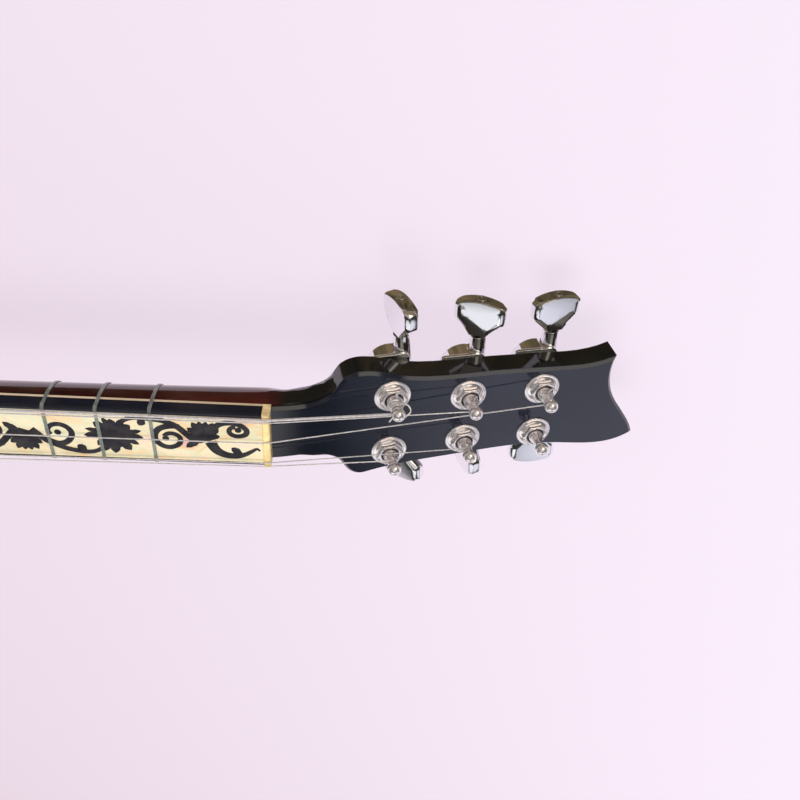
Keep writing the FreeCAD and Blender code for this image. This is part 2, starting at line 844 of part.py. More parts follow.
def body_curve(z, length_share, width_share, inset=0):
    """The body's outline at one height, drawn in by an inset."""
    ring = []
    for along, across in body_outline_shares:
        x = body_tail_x + along * body_length
        x = bowl_centre_x + (x - bowl_centre_x) * length_share
        ring.append(Vector(x, across * body_width * half * width_share, z))
    mirrored = [Vector(p.x, -p.y, p.z) for p in reversed(ring[1:-1])]
    curve = closed_curve(ring + mirrored).Edges[0]
    first, last = curve.ParameterRange
    samples = []
    for k in range(2 * outline_arcs + 1):
        place = first + (last - first) * (k % (2 * outline_arcs)) / (2 * outline_arcs)
        along = curve.tangentAt(place)
        samples.append(curve.valueAt(place) + Vector(along.y, -along.x, 0) * inset)
    arcs = [Part.Arc(*samples[k:k + 3]).toShape() for k in range(0, 2 * outline_arcs, 2)]
    return Part.Wire(arcs)


def body_slab(inset, z_low, z_high):
    """A level slab of the body's top outline, drawn in by an inset."""
    return solid_from(body_curve(z_low, 1.0, 1.0, inset), Z_AXIS * (z_high - z_low))


def bowl_shell():
    """The carved body, cut square at the neck joint."""
    layers = [body_curve(neck_top * (1 - down), long, wide) for down, long, wide in bowl_layer_shares]
    bowl = Part.makeLoft(layers, True, True)
    beyond = box_about(neck_joint_x, neck_joint_x + body_length, -body_width, body_width, -overlap, board_top)
    return bowl.cut(beyond)


def chamber(plan):
    """One hollow of the body beside the centre block."""
    side = plan[0]
    x_low, x_high = [body_tail_x + body_length * share for share in plan[1:]]
    top = neck_top - soundboard_thickness
    slab = solid_from(body_curve(bowl_floor, *chamber_shares), Z_AXIS * (top - bowl_floor))
    low_y, high_y = sorted((side * centre_block_half, side * body_width))
    return slab.common(box_about(x_low, x_high, low_y, high_y, 0, body_depth))


def pickup_room(x, margin, z_low, z_high):
    """The rounded hole that takes one pickup."""
    reach = pickup_length * half + margin
    wide = pickup_width * half + margin
    return rounded_plate(x - wide, x + wide, -reach, reach, wide * 0.5, z_low, z_high - z_low)


def control_cavity(margin, z_low, z_high):
    """The rounded hollow behind the knobs, drawn out by a margin."""
    x, y = cavity_centre
    reach, wide = cavity_length * half + margin, cavity_width * half + margin
    return rounded_plate(x - reach, x + reach, y - wide, y + wide, cavity_corner, z_low, z_high - z_low)


def cover_screw_points():
    """The four corners of the control cover that take its screws."""
    x, y = cavity_centre
    reach = cavity_length * half + control_cover_margin * 0.3
    wide = cavity_width * half - cavity_corner * 0.7
    corners = [(sx, sy) for sx in (-1, 1) for sy in (-1, 1)]
    return [Vector(x + sx * reach, y + sy * wide, control_cover_thickness) for sx, sy in corners]


os.makedirs("parts", exist_ok=True)

# Neck with the headstock's core, and the black overlay on its face
plate = head_plate()
face_cut = box_about(-body_width, body_width, -body_width, body_width, -overlay_thickness, body_width)
overlay = plate.common(face_cut)
core = plate.cut(face_cut)
core.Placement = head_place.multiply(core.Placement)
overlay.Placement = head_place.multiply(overlay.Placement)
nut_slot = box_about(
    scale_length, scale_length + nut_thickness, -nut_width, nut_width, neck_top, board_top + face_drop,
)
tenon = box_about(
    neck_joint_x - tenon_length, neck_joint_x + overlap, -tenon_width * half, tenon_width * half,
    neck_top - soundboard_thickness - tenon_depth, neck_top - soundboard_thickness,
)
neck = joined([neck_shaft(), head_fade(), core, tenon])
face_slab = box_about(-body_width, body_width, -body_width, body_width, -overlay_thickness, body_depth)
face_slab.Placement = head_place.multiply(face_slab.Placement)
beyond_nut = box_about(scale_length + nut_thickness, scale_length * 2, -body_width, body_width, 0, body_width)
neck = neck.cut([nut_slot, face_slab.common(beyond_nut)])
sleeve_bores, screw_bores = [], []
for number in range(len(post_places)):
    sleeve_bores.append(placed(facet_drum(sleeve_radius, sleeve_radius, head_back * 2, washer_radius), number))
    for x, y in tuner_screw_places:
        hole = screw_way(tuner_screw_radius, Vector(x, y, head_back - overlap), tuner_screw_length + overlap)
        screw_bores.append(placed(hole, number))
neck = neck.cut(sleeve_bores + screw_bores)
overlay = overlay.cut(sleeve_bores + [nut_slot])
save(neck, "neck")
save(overlay, "headstock_overlay")

# Fingerboard, its pearl panel, the binding under it and the nut
board_start = neck_joint_x - board_overhang
half_start = neck_width_at(board_start) * half
half_nut = nut_width * half
board_low = neck_top + neck_binding_thickness
board = board_prism(board_start, scale_length, half_start, half_nut, board_low, board_top)
long_edges = [
    e for e in board.Edges
    if e.BoundBox.XLength > body_depth and e.BoundBox.ZMin > board_top - running_clearance
]
board = board.makeChamfer(board_edge_round, long_edges)
pearl_box = (
    board_start + pearl_end_margin, scale_length - pearl_end_margin * half, half_start * pearl_width_share,
    half_nut * pearl_width_share, board_top - pearl_thickness, board_top,
)
pearl = board_prism(*pearl_box)
save(board.cut(pearl), "fingerboard")
save(pearl, "fingerboard_inlay")
binding = board_prism(board_start, scale_length, half_start, half_nut, neck_top, board_low)
save(binding, "neck_binding")
nut = box_about(
    scale_length, scale_length + nut_thickness, -half_nut, half_nut, neck_top, board_top + nut_rise,
)
nut_top_edges = [
    e for e in nut.Edges
    if e.BoundBox.ZMin > board_top + nut_rise - running_clearance and e.BoundBox.YLength > nut_thickness
]
nut = nut.makeFillet(nut_thickness * 0.3, nut_top_edges)
for plan in string_plans:
    nut = notched(nut, plan, 2, nut_thickness)
save(nut, "nut")

# Tied frets
ties = [fret_tie(tie_x(cents)) for cents in tie_cents]
save(ties, "fret_ties")

# Machine heads
gear_shape = gear_blank()
shaft_shape = worm_shaft()
post_shape = string_post()
for number in range(len(post_places)):
    name = "_" + str(number + 1)
    save(placed(gear_shape, number), "tuner_gear" + name)
    save(placed(shaft_shape, number), "tuner_worm" + name)
    save(placed(post_shape, number), "string_post" + name)
    save(placed(button(button_rest_angles_deg[number]), number), "tuner_button" + name)
fixed_shapes = {
    "tuner_bushings": tuner_bushing(), "tuner_washers": tuner_washer(), "tuner_housings": tuner_housing(),
    "tuner_covers": tuner_cover(), "shaft_washers": shaft_washer(),
}
for node, shape in fixed_shapes.items():
    save([placed(shape, number) for number in range(len(post_places))], node)
tuner_screws = []
for number in range(len(post_places)):
    for x, y in tuner_screw_places:
        place = Vector(x, y, head_back - flange_thickness)
        head_size = (tuner_screw_head_radius, tuner_screw_head_height)
        one = screw(place, -Z_AXIS, tuner_screw_radius, tuner_screw_length, *head_size)
        tuner_screws.append(placed(one, number))
save(tuner_screws, "tuner_screws")

# Strings
strings = [instrument_string(plan) for plan in string_plans]
save(strings[:2], "strings_upper")
save(strings[2:3], "string_middle")
save(strings[3:], "strings_lower")

# Body: carved bowl, soundboard, edge binding and braces
board_line = neck_top - soundboard_thickness
bowl = bowl_shell()
rim_slab = box_about(body_tail_x * 2, neck_joint_x * 2, -body_width, body_width, board_line, board_top)
bowl = bowl.cut(rim_slab)
neck_pocket = box_about(
    neck_joint_x - tenon_length, neck_joint_x + overlap, -tenon_width * half, tenon_width * half,
    board_line - tenon_depth, board_line,
)
cavity_top = board_line - cavity_roof
hollows = [chamber(plan) for plan in chamber_plans] + [neck_pocket]
bay_floor = board_line - pickup_bay_depth
hollows += [pickup_room(x, pickup_bay_clearance, bay_floor, board_line) for x in pickup_places]
hollows.append(control_cavity(0, control_cover_thickness, cavity_top))
hollows.append(control_cavity(control_cover_margin, -overlap, control_cover_thickness))
for x, y in pot_places:
    hollows.append(upright_drum(pot_bushing_radius, x, y, cavity_top - overlap, board_line))
seat = Vector(jack_x, jack_seat_y, jack_height)
jack_in = seat + Y_AXIS * jack_barrel_length
hollows.append(rod(jack_plate_radius, seat, seat - Y_AXIS * body_width))
jack_way_length = cavity_middle_y - cavity_width * 0.3 - jack_seat_y
hollows.append(facet_rod(jack_barrel_radius, seat + Y_AXIS * jack_way_length, seat))
jack_screw_points = [seat + X_AXIS * side * jack_screw_spread for side in (-1, 1)]
for point in jack_screw_points:
    end = point + Y_AXIS * jack_screw_length
    hollows.append(screw_hole(jack_screw_radius, end, -Y_AXIS, jack_screw_length))
for point in cover_screw_points():
    end = point + Z_AXIS * cover_screw_length
    hollows.append(screw_hole(cover_screw_radius, end, -Z_AXIS, cover_screw_length))
bowl = bowl.cut(hollows)
soundboard = body_slab(body_binding_width, board_line, neck_top)
joint_cut = box_about(neck_joint_x, neck_joint_x * 2, -body_width, body_width, 0, board_top)
top_holes = [joint_cut]
top_holes += [pickup_room(x, pickup_bay_clearance, board_line, neck_top) for x in pickup_places]
for x, y in pot_places:
    top_holes.append(upright_drum(pot_bushing_radius, x, y, board_line, neck_top))
tail_screw_points = [Vector(tailpiece_x, side * tail_screw_spread, neck_top) for side in (-1, 1)]
screw_ways = [
    screw_way(tail_screw_radius, p - Z_AXIS * tail_screw_length, tail_screw_length + overlap)
    for p in tail_screw_points
]
soundboard = soundboard.cut(top_holes + screw_ways)
body_binding = body_slab(0, board_line, neck_top).cut(body_slab(body_binding_width, board_line, neck_top))
body_binding = body_binding.cut(joint_cut)
bowl = bowl.cut(screw_ways)
braces = []
for plan in chamber_plans:
    x = body_tail_x + body_length * (plan[1] + plan[2]) * half
    rib = box_about(
        x - brace_thickness * half, x + brace_thickness * half, -body_width, body_width,
        board_line - brace_height, board_line,
    )
    braces.append(rib.common(chamber(plan)))

# Bridge and tailpiece
string_line = board_top + string_rise_at_bridge
bridge_height = string_line - neck_top + bridge_overlap_above_string
profile = [
    Vector(-bridge_foot_width * half, 0, neck_top), Vector(bridge_foot_width * half, 0, neck_top),
    Vector(bridge_foot_width * half, 0, neck_top + bridge_height * 0.22),
    Vector(bridge_top_width * half, 0, neck_top + bridge_height * 0.8),
    Vector(bridge_top_width * half, 0, neck_top + bridge_height),
    Vector(-bridge_top_width * half, 0, neck_top + bridge_height),
    Vector(-bridge_top_width * half, 0, neck_top + bridge_height * 0.8),
    Vector(-bridge_foot_width * half, 0, neck_top + bridge_height * 0.22),
]
bridge = solid_from(Part.makePolygon(profile + [profile[0]]), Y_AXIS * bridge_length)
bridge.translate(Y_AXIS * -bridge_length * half)
arch_middle = neck_top + bridge_arch_height - bridge_arch_half
for side in (-1, 1):
    arch_start = Vector(-bridge_foot_width, side * bridge_length * quarter, arch_middle)
    bridge = bridge.cut(rod(bridge_arch_half, arch_start, arch_start + X_AXIS * bridge_foot_width * 2))
anchor_ways = []
for plan in string_plans:
    bridge = notched(bridge, plan, 1, bridge_foot_width)
    points = string_points(plan)
    way_radius = around(plan[0] * half + string_slack, string_sides)
    anchor_ways.append(facet_rod(way_radius, points[0] * 2 - points[1], points[1], string_sides))
save(bridge, "bridge")
tail_low = tailpiece_x - tailpiece_length * half
tailpiece = box_about(
    tail_low, tail_low + tailpiece_length, -tailpiece_width * half, tailpiece_width * half, neck_top,
    neck_top + tailpiece_height,
)
tail_edges = [e for e in tailpiece.Edges if e.BoundBox.ZMax > neck_top + running_clearance]
tailpiece = tailpiece.makeChamfer(tailpiece_chamfer, tail_edges)
tail_seats = [p + Z_AXIS * tailpiece_height * half for p in tail_screw_points]
tail_ways = [screw_way(tail_screw_radius, p, tailpiece_height) for p in tail_screw_points]
seat_radius = tail_screw_head_radius + running_clearance * 2
tail_ways += [
    upright_drum(seat_radius, p.x, p.y, p.z, p.z + tailpiece_height, screw_head_sides) for p in tail_seats
]
save(tailpiece.cut(tail_ways + anchor_ways), "tailpiece")
tail_head_sizes = (tail_screw_head_radius, tailpiece_height * 0.3)
body_screws = [
    screw(p, Z_AXIS, tail_screw_radius, tail_screw_length * 0.9, *tail_head_sizes) for p in tail_seats
]

# Pickups: shell, bobbin with its coil, one magnetic blade and screws
covers, bobbins, coils, blades = [], [], [], []
for x in pickup_places:
    shell_top = neck_top + pickup_rise
    low = board_line - bobbin_depth
    outer = pickup_room(x, 0, low, shell_top)
    inner = pickup_room(x, -pickup_shell, low - overlap, shell_top - pickup_shell)
    blade = box_about(
        x - blade_width * half, x + blade_width * half, -blade_length * half, blade_length * half, low,
        shell_top + blade_rise,
    )
    inner_reach = pickup_length * half - pickup_shell
    inner_wide = pickup_width * half - pickup_shell
    screw_y = inner_reach - pickup_screw_head_radius
    ways = [
        screw_way(pickup_screw_radius, Vector(x, side * screw_y, bay_floor), shell_top) for side in (-1, 1)
    ]
    covers.append(outer.cut([inner, blade] + ways))
    bobbin_top = shell_top - pickup_shell
    core_half = screw_y - pickup_screw_head_radius * 1.6
    core_block = box_about(
        x - bobbin_core_width * half, x + bobbin_core_width * half, -core_half, core_half, low, bobbin_top,
    )
    plates = [
        rounded_plate(
            x - inner_wide * 0.96, x + inner_wide * 0.96, -core_half - pickup_shell, core_half + pickup_shell,
            inner_wide * 0.3, z, pickup_ear_thickness,
        )
        for z in (low, bobbin_top - pickup_ear_thickness)
    ]
    bobbins.append(joined([core_block] + plates).cut(blade))
    coil = rounded_plate(
        x - inner_wide * 0.88, x + inner_wide * 0.88, -core_half - pickup_shell * half,
        core_half + pickup_shell * half, inner_wide * 0.3,
        low + pickup_ear_thickness, bobbin_top - low - 2 * pickup_ear_thickness,
    )
    coils.append(coil.cut(core_block))
    blades.append(blade)
    shank_length = shell_top - bay_floor + pickup_screw_length * half
    for side in (-1, 1):
        body_screws.append(screw(
            Vector(x, side * screw_y, shell_top), Z_AXIS, pickup_screw_radius, shank_length,
            pickup_screw_head_radius, pickup_screw_head_height,
        ))
save(covers, "pickup_covers")
save(bobbins, "pickup_bobbins")
save(coils, "pickup_coils")
save(blades, "pickup_poles")
pickup_screw_ways = []
for x in pickup_places:
    screw_y = pickup_length * half - pickup_shell - pickup_screw_head_radius
    for side in (-1, 1):
        low = Vector(x, side * screw_y, bay_floor - pickup_screw_length)
        pickup_screw_ways.append(screw_way(pickup_screw_radius, low, pickup_screw_length + pickup_bay_depth))
bowl = bowl.cut(pickup_screw_ways)

# Controls: pots in the cavity, nuts on the soundboard, knobs on turning shafts
pot_cases, nuts = [], []
for (x, y), node in zip(pot_places, ("volume", "tone")):
    floor = cavity_top
    case = upright_drum(pot_case_radius, x, y, floor - pot_case_depth, floor)
    bushing = upright_drum(pot_bushing_radius, x, y, floor - overlap, neck_top + pot_bushing_rise)
    shaft_low = floor - pot_case_depth * 0.7
    way_radius = around(pot_shaft_radius + running_clearance, post_sides)
    way = upright_drum(way_radius, x, y, shaft_low, board_top * 2, post_sides)
    pot_cases.append(joined([case, bushing]).cut(way))
    nut_ring = hexagon(pot_nut_flats, pot_nut_thickness, Vector(x, y, neck_top))
    nuts.append(nut_ring.cut(upright_drum(pot_bushing_radius, x, y, neck_top - overlap, board_top * 2)))
    knob_low = neck_top + knob_gap
    shaft_top = neck_top + pot_bushing_rise + knob_gap + knob_bore_depth * half
    shaft = rod(pot_shaft_radius, Vector(x, y, shaft_low + running_clearance * 2), Vector(x, y, shaft_top))
    save(shaft, node + "_shaft")
    skirt = knob_radius + knob_skirt_flare
    knob = joined([
        facet_drum(skirt, skirt, 0, knob_skirt_height * half),
        facet_drum(skirt, knob_radius, knob_skirt_height * half, knob_skirt_height),
        facet_drum(knob_radius, knob_radius * 0.9, knob_skirt_height, knob_height - knob_bevel),
        facet_drum(knob_radius * 0.9, knob_radius * 0.9 - knob_bevel, knob_height - knob_bevel, knob_height),
    ])
    mark_half = knob_bevel * half
    mark_low = knob_height - knob_bevel
    nut_room = pot_nut_flats * half * 1.2
    knob = knob.cut([
        facet_drum(nut_room, nut_room, -overlap, pot_bushing_rise),
        rod(pot_shaft_radius, Vector(0, 0, 0), Vector(0, 0, shaft_top - knob_low)),
        box_about(knob_radius * quarter, skirt, -mark_half, mark_half, mark_low, knob_height * 2),
    ])
    knob.translate(Vector(x, y, knob_low))
    save(knob, node + "_knob")
save(pot_cases, "pot_cases")

# Output jack
jack_axis = -Y_AXIS
jack_plate_top = seat - Y_AXIS * jack_plate_thickness
plate_edge = jack_plate_radius - running_clearance
jack_plate = facet_rod(plate_edge, seat, jack_plate_top)
jack_plate = jack_plate.cut([facet_rod(jack_barrel_radius, jack_in, seat - Y_AXIS * overlap)] + [
    screw_hole(jack_screw_radius, p, jack_axis, overlap) for p in jack_screw_points
])
jack_nose = jack_plate_top - Y_AXIS * jack_nut_thickness
barrel = facet_rod(jack_barrel_radius, jack_in, jack_nose)
barrel = barrel.cut(rod(jack_bore_radius, jack_in + Y_AXIS * overlap, jack_nose - Y_AXIS * overlap))
save([barrel, jack_plate], "output_jack")
jack_hex = hexagon(jack_nut_flats, jack_nut_thickness, Vector(0, 0, 0))
jack_hex = jack_hex.cut(facet_drum(jack_barrel_radius, jack_barrel_radius, -overlap, overlap * 2))
jack_hex.Placement = Placement(jack_plate_top, Rotation(Z_AXIS, jack_axis))
save(nuts + [jack_hex], "control_nuts")
jack_screw_sizes = (jack_screw_radius, jack_screw_length, jack_screw_head_radius, jack_screw_head_height)
jack_head_seats = [p - Y_AXIS * jack_plate_thickness for p in jack_screw_points]
body_screws += [screw(p, jack_axis, *jack_screw_sizes) for p in jack_head_seats]

# Control cover on the flat back
control_cover = control_cavity(control_cover_margin - control_cover_gap, 0, control_cover_thickness)
cover_ways = []
for point in cover_screw_points():
    head_seat = point - Z_AXIS * control_cover_thickness * half
    seat_edge = cover_screw_head_radius + running_clearance
    cover_ways.append(screw_hole(cover_screw_radius, point, -Z_AXIS, overlap))
    cover_ways.append(upright_drum(seat_edge, point.x, point.y, -overlap, head_seat.z, screw_head_sides))
    body_screws.append(screw(
        head_seat, -Z_AXIS, cover_screw_radius, cover_screw_length, cover_screw_head_radius,
        control_cover_thickness * 0.4,
    ))
save(control_cover.cut(cover_ways), "control_cover")
save(body_screws, "body_screws")

# Strap buttons at the tail and on the upper side near the neck
strap_profile = (
    (strap_button_radius * 0.8, 0), (strap_button_waist_radius, strap_button_length * 0.35),
    (strap_button_waist_radius, strap_button_length * 0.6), (strap_button_radius, strap_button_length * 0.78),
    (strap_button_radius, strap_button_length * 0.92), (strap_button_radius * 0.85, strap_button_length),
)
strap_seats = (
    (Vector(strap_tail_x, 0, strap_tail_height), -X_AXIS),
    (Vector(strap_side_x, strap_side_seat_y, strap_side_height), Y_AXIS),
)
strap_buttons = []
for place, direction in strap_seats:
    one = facet_turned(strap_profile)
    one.Placement = Placement(place, Rotation(Z_AXIS, direction))
    clear = rod(strap_button_radius, place, place + direction * strap_button_length)
    bowl = bowl.cut(clear)
    strap_buttons.append(one)
save(strap_buttons, "strap_buttons")
save(soundboard, "soundboard")
save(body_binding, "body_binding")
save(braces, "soundboard_braces")
save(bowl, "body_bowl")
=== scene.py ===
"""Electric saz: camera, light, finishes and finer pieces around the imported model."""

import bpy
import bmesh
import json
import math
from mathutils import Matrix, Vector
from mathutils.bvhtree import BVHTree


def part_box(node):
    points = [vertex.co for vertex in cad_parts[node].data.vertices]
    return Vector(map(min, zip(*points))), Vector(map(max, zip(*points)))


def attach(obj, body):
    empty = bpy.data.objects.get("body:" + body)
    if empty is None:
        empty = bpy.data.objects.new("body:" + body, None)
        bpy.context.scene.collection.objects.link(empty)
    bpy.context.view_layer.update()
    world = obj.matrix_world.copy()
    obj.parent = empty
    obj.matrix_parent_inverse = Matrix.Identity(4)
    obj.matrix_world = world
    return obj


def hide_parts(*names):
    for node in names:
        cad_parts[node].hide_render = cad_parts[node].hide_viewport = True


mm = 0.001
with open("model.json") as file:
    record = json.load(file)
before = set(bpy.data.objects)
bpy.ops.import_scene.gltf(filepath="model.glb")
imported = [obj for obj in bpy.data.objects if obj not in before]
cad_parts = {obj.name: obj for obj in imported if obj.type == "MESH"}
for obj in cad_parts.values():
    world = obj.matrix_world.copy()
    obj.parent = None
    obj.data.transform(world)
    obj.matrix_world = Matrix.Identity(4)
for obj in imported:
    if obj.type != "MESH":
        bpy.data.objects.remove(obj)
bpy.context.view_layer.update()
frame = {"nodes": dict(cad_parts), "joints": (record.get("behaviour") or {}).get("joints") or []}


def in_mm(*rows):
    return tuple(tuple(value * mm for value in row) for row in rows)


# Sizes read off the frame
NUT_LOW, NUT_HIGH = (Vector(corner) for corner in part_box("nut"))
BOARD_LOW, BOARD_HIGH = (Vector(corner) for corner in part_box("fingerboard"))
PEARL_LOW, PEARL_HIGH = (Vector(corner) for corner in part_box("fingerboard_inlay"))
NUT_X = NUT_LOW.x
BOARD_TOP = BOARD_HIGH.z
BOARD_THICKNESS = BOARD_HIGH.z - BOARD_LOW.z
POSTS = [joint for joint in frame["joints"] if joint["name"].startswith("post_")]
TUNERS = [joint for joint in frame["joints"] if joint["name"].startswith("tuner_")]

# Camera, measured from the nut's front edge on the fingerboard's top
CAMERA_FROM_NUT = Vector((37.716, 226.669, 249.686)) * mm
CAMERA_FORWARD = Vector((0.044068, -0.630722, -0.774757))
CAMERA_RIGHT = Vector((0.998193, 0.059502, 0.008337))
LENS = 38.865

# Surroundings
FLOOR_SIZE = 6.0
FLOOR_PLACE = (0.4, 0, -0.0005)
FLOOR_PALE = (0.80, 0.72, 0.80)
FLOOR_GLOW = 0.82
BACKDROP_PALE = (0.985, 0.875, 0.995)
# The backdrop's glow darkens from the pale colour to the next one along a slope: painted shade on the backdrop.
BACKDROP_PAINTED_SHADE = (0.79, 0.655, 0.745)
BACKDROP_SHADE_SLOPE = ((1.5, 0.45, 0.0), -0.62)
ROOM_WHITE = (0.93, 0.90, 0.95)
ROOM_LOW = (0.50, 0.47, 0.50)
ROOM_LEVEL = 0.62
ROOM_TOP = 0.75
HORIZON_PALE = (0.90, 0.80, 0.90)

# Studio flags round the headstock: soft panels by direction, where they fade in, and their colour
TENT_CENTRE = Vector((NUT_X + 0.08, 0.0, 0.0))
TENT_RADIUS = 1.15
TENT_SEGMENTS = 48
TENT_BASE = (0.030, 0.036, 0.026)
TENT_PANELS = (
    ((0.0, 0.55, 0.83), 0.80, 0.93, (0.84, 0.76, 0.77)),
    ((0.0, 0.95, 0.3), 0.35, 0.95, (0.23, 0.18, 0.12)),
    ((0.55, -0.60, 0.58), 0.915, 0.995, (0.80, 0.79, 0.90)),
    ((-0.30, -0.70, 0.65), 0.915, 0.975, (0.90, 0.90, 0.95)),
    ((0.0, -0.62, 0.78), 0.984, 0.994, (1.25, 1.22, 1.20)),
    ((0.30, 0.68, 0.66), 0.94, 0.965, (1.9, 1.75, 1.45)),
)
TENT_SWEEP = (0.22, 0.08, (0.76, 0.70, 0.78))
FLOOR_CARD = ((0.38, (0.035, 0.032, 0.024)), (0.52, (0.11, 0.085, 0.045)), (0.66, (0.19, 0.135, 0.075)))
FLOOR_CARD_BOX = (-0.30, 0.030, 0.45, 0.90)
FLOOR_CARD_LEVEL = -0.0003

# Lamps: name, place from the nut, width and depth, watts and colour
LAMPS = (
    ("overhead", (-0.1, -0.25, 1.5), (1.1, 0.7), 15.5, (1, 1, 1)),
    ("side", (-0.9, 0.9, 0.9), (0.8, 0.5), 5.0, (1, 1, 1)),
    ("far_side", (0.8, -0.9, 0.7), (0.7, 0.5), 3.0, (0.93, 0.95, 1.0)),
)

# Finishes
BEVEL_SAMPLES = 6
GLOSS_ROUGHNESS = 0.05
SOFT_ANGLE = math.radians(36)
RED_FADE = 9 * mm
SCATTER = (0.002, 0.0012, 0.0006)

# Scroll work of the pearl panel, in half widths of the panel, from the first flower's foot
SCROLL_FOOT = 22.6 * mm
SCROLL_UNIT = 6.07
SCROLL_RISE = 0.06 * mm
SCROLL_LOWEST = 0.6
SCROLL_LEVELS = 37
SCROLL_STRIDE = 7
SCROLL_FLOOR = BOARD_TOP - SCROLL_RISE
SCROLL_START = PEARL_LOW.x + mm
SCROLL_STOP = PEARL_HIGH.x - 0.3 * mm
PETAL_SHAPE = ((0, 0.35), (0.2, 0.62), (0.42, 0.95), (0.58, 1.0), (0.68, 0.78), (0.78, 0.80), (0.9, 0.45))
DISC_SIDES = 14
CURVE_STEPS = 5
END_STEM = (
    (1.92, -0.50), (1.80, -0.38), (1.64, -0.48), (1.42, -0.63), (1.17, -0.73), (0.91, -0.74),
    (0.66, -0.68), (0.44, -0.54), (0.31, -0.35), (0.22, -0.12),
)
END_SPIRAL = (
    (0.30, 0.36), (0.37, 0.48), (0.53, 0.66), (0.79, 0.76), (1.11, 0.74), (1.35, 0.62), (1.48, 0.44),
    (1.42, 0.26), (1.19, 0.18), (0.97, 0.24), (0.88, 0.39), (0.95, 0.54), (1.11, 0.58),
)
ARCH_STEM = (
    (-0.20, -0.14), (-0.38, -0.02), (-0.60, 0.22), (-0.86, 0.50), (-1.11, 0.66), (-1.42, 0.77), (-1.74, 0.81),
    (-2.06, 0.85), (-2.37, 0.82), (-2.59, 0.73), (-2.73, 0.60), (-2.82, 0.36),
)
ARCH_SPIRAL = (
    (-0.80, 0.50), (-0.98, 0.54), (-1.24, 0.50), (-1.49, 0.38), (-1.64, 0.16), (-1.65, -0.10), (-1.49, -0.33),
    (-1.24, -0.43), (-0.98, -0.36), (-0.82, -0.19), (-0.82, 0.04), (-0.98, 0.18), (-1.20, 0.19), (-1.36, 0.06),
)
LOW_STEM = (
    (-3.30, -0.40), (-3.51, -0.57), (-3.76, -0.73), (-4.08, -0.78), (-4.40, -0.74), (-4.72, -0.66), (-5.03, -0.52),
    (-5.35, -0.33), (-5.57, -0.10), (-5.80, 0.16),
)
LOW_SPIRAL = (
    (-5.30, -0.34), (-5.22, -0.35), (-4.96, -0.44), (-4.68, -0.35), (-4.50, -0.12), (-4.47, 0.12), (-4.62, 0.33),
    (-4.87, 0.42), (-5.12, 0.35), (-5.25, 0.16), (-5.19, -0.04),
)
# Each stroke with its width at the start and at the end
END_STROKES = ((END_STEM, 0.07, 0.42), (END_SPIRAL, 0.24, 0.17))
STALK = (((0.0, 0.3), (0.02, 0.05), (0.08, -0.12)), 0.62, 0.5)
UNIT_STROKES = (
    STALK, (ARCH_STEM, 0.27, 0.17), (ARCH_SPIRAL, 0.25, 0.17), (LOW_STEM, 0.15, 0.27), (LOW_SPIRAL, 0.25, 0.17),
)
BALL_SIZE = 0.12
FAN_HEART = (0.0, 0.22)
FAN_HEART_SIZE = 0.30
ROSETTE_HEART_SIZE = 0.24
SPIRAL_BALLS = ((-1.30, -0.04), (-4.93, 0.06))
END_BALL = (1.19, 0.46)
FAN_PETALS = (
    (-0.54, 0.48, 0.30), (-0.36, 0.74, 0.30), (-0.12, 0.79, 0.29), (0.12, 0.79, 0.29), (0.37, 0.74, 0.30),
    (0.54, 0.47, 0.30), (-0.54, 0.14, 0.30), (0.56, 0.14, 0.28), (-0.64, -0.42, 0.30),
)
FAN_FOOT = (0.12, 0.08)
FAN_FOOT_RISE = 0.08
ROSETTE_PLACE = (-3.01, 0.06)
ROSETTE_FOOT = 0.1
ROSETTE_PETALS = (
    (-0.09, 0.74, 0.40), (-0.66, 0.58, 0.40), (-1.06, -0.02, 0.34), (-0.66, -0.46, 0.40), (-0.09, -0.80, 0.42),
    (0.48, -0.64, 0.42), (0.96, -0.06, 0.34), (0.56, 0.50, 0.40), (-0.34, 0.80, 0.24), (0.28, 0.74, 0.26),
    (-0.44, -0.72, 0.26), (0.78, -0.36, 0.26), (0.92, 0.26, 0.24), (-0.98, 0.28, 0.24),
)
BUDS = ((-1.96, 0.80, -2.14, 0.50, 0.30), (-4.10, -0.76, -4.34, -0.46, 0.34))
END_BUD = (1.26, -0.66, 0.92, -0.36, 0.30)

# Neck's back: half width, depth and fullness of its section at the nut, how far it reaches either way, and its mesh
NECK_FULLNESS = (13.40 * mm, 18.3 * mm, 2.6)
NECK_REACH = 330 * mm
NECK_RUN_OUT = 30 * mm
NECK_EASE = 2.3
NECK_SECTIONS = 96
NECK_STEPS = 40
NECK_BLEND = 3
NECK_SUNK_END = 0.5 * mm
NECK_SKIN = 0.04 * mm
NECK_UNDER_BOARD = 1.2 * mm
NECK_CLEAR = 0.15 * mm
OUTSIDE = 60 * mm
ABOVE = 120 * mm
PANEL_OVERLAP = 0.05 * mm
PANEL_DEPTH = 0.3 * mm
PANEL_RISE = 0.008 * mm

# Turned pieces of the machine heads, as radius and height over the headstock's face
POST_PROFILE = in_mm(
    (3.2, -19.7), (3.2, -18.9), (2.2, -18.9), (2.2, -16.3), (3.0, -16.3), (3.0, 2.6), (2.95, 3.6), (2.86, 4.2),
    (2.68, 4.75), (2.42, 5.3), (2.15, 6.0), (1.86, 6.9), (1.64, 7.8), (1.52, 8.5), (1.50, 8.9), (1.60, 9.14),
)
BALL_RADIUS = 2.85 * mm
BALL_HEIGHT = 11.5 * mm
BALL_STEPS = 22
BALL_CROWN = 0.03
TURNED_SIDES = 48
WASHER_SIDES = 64
SCREW_SIDES = 24
WASHER_PROFILE = in_mm(
    (4.75, 0.01), (7.30, 0.01), (7.38, 0.30), (7.32, 0.52), (7.12, 0.68), (6.86, 0.70), (6.62, 0.60), (6.30, 0.56),
    (5.95, 0.64), (5.60, 0.86), (5.30, 1.12), (4.75, 1.28),
)
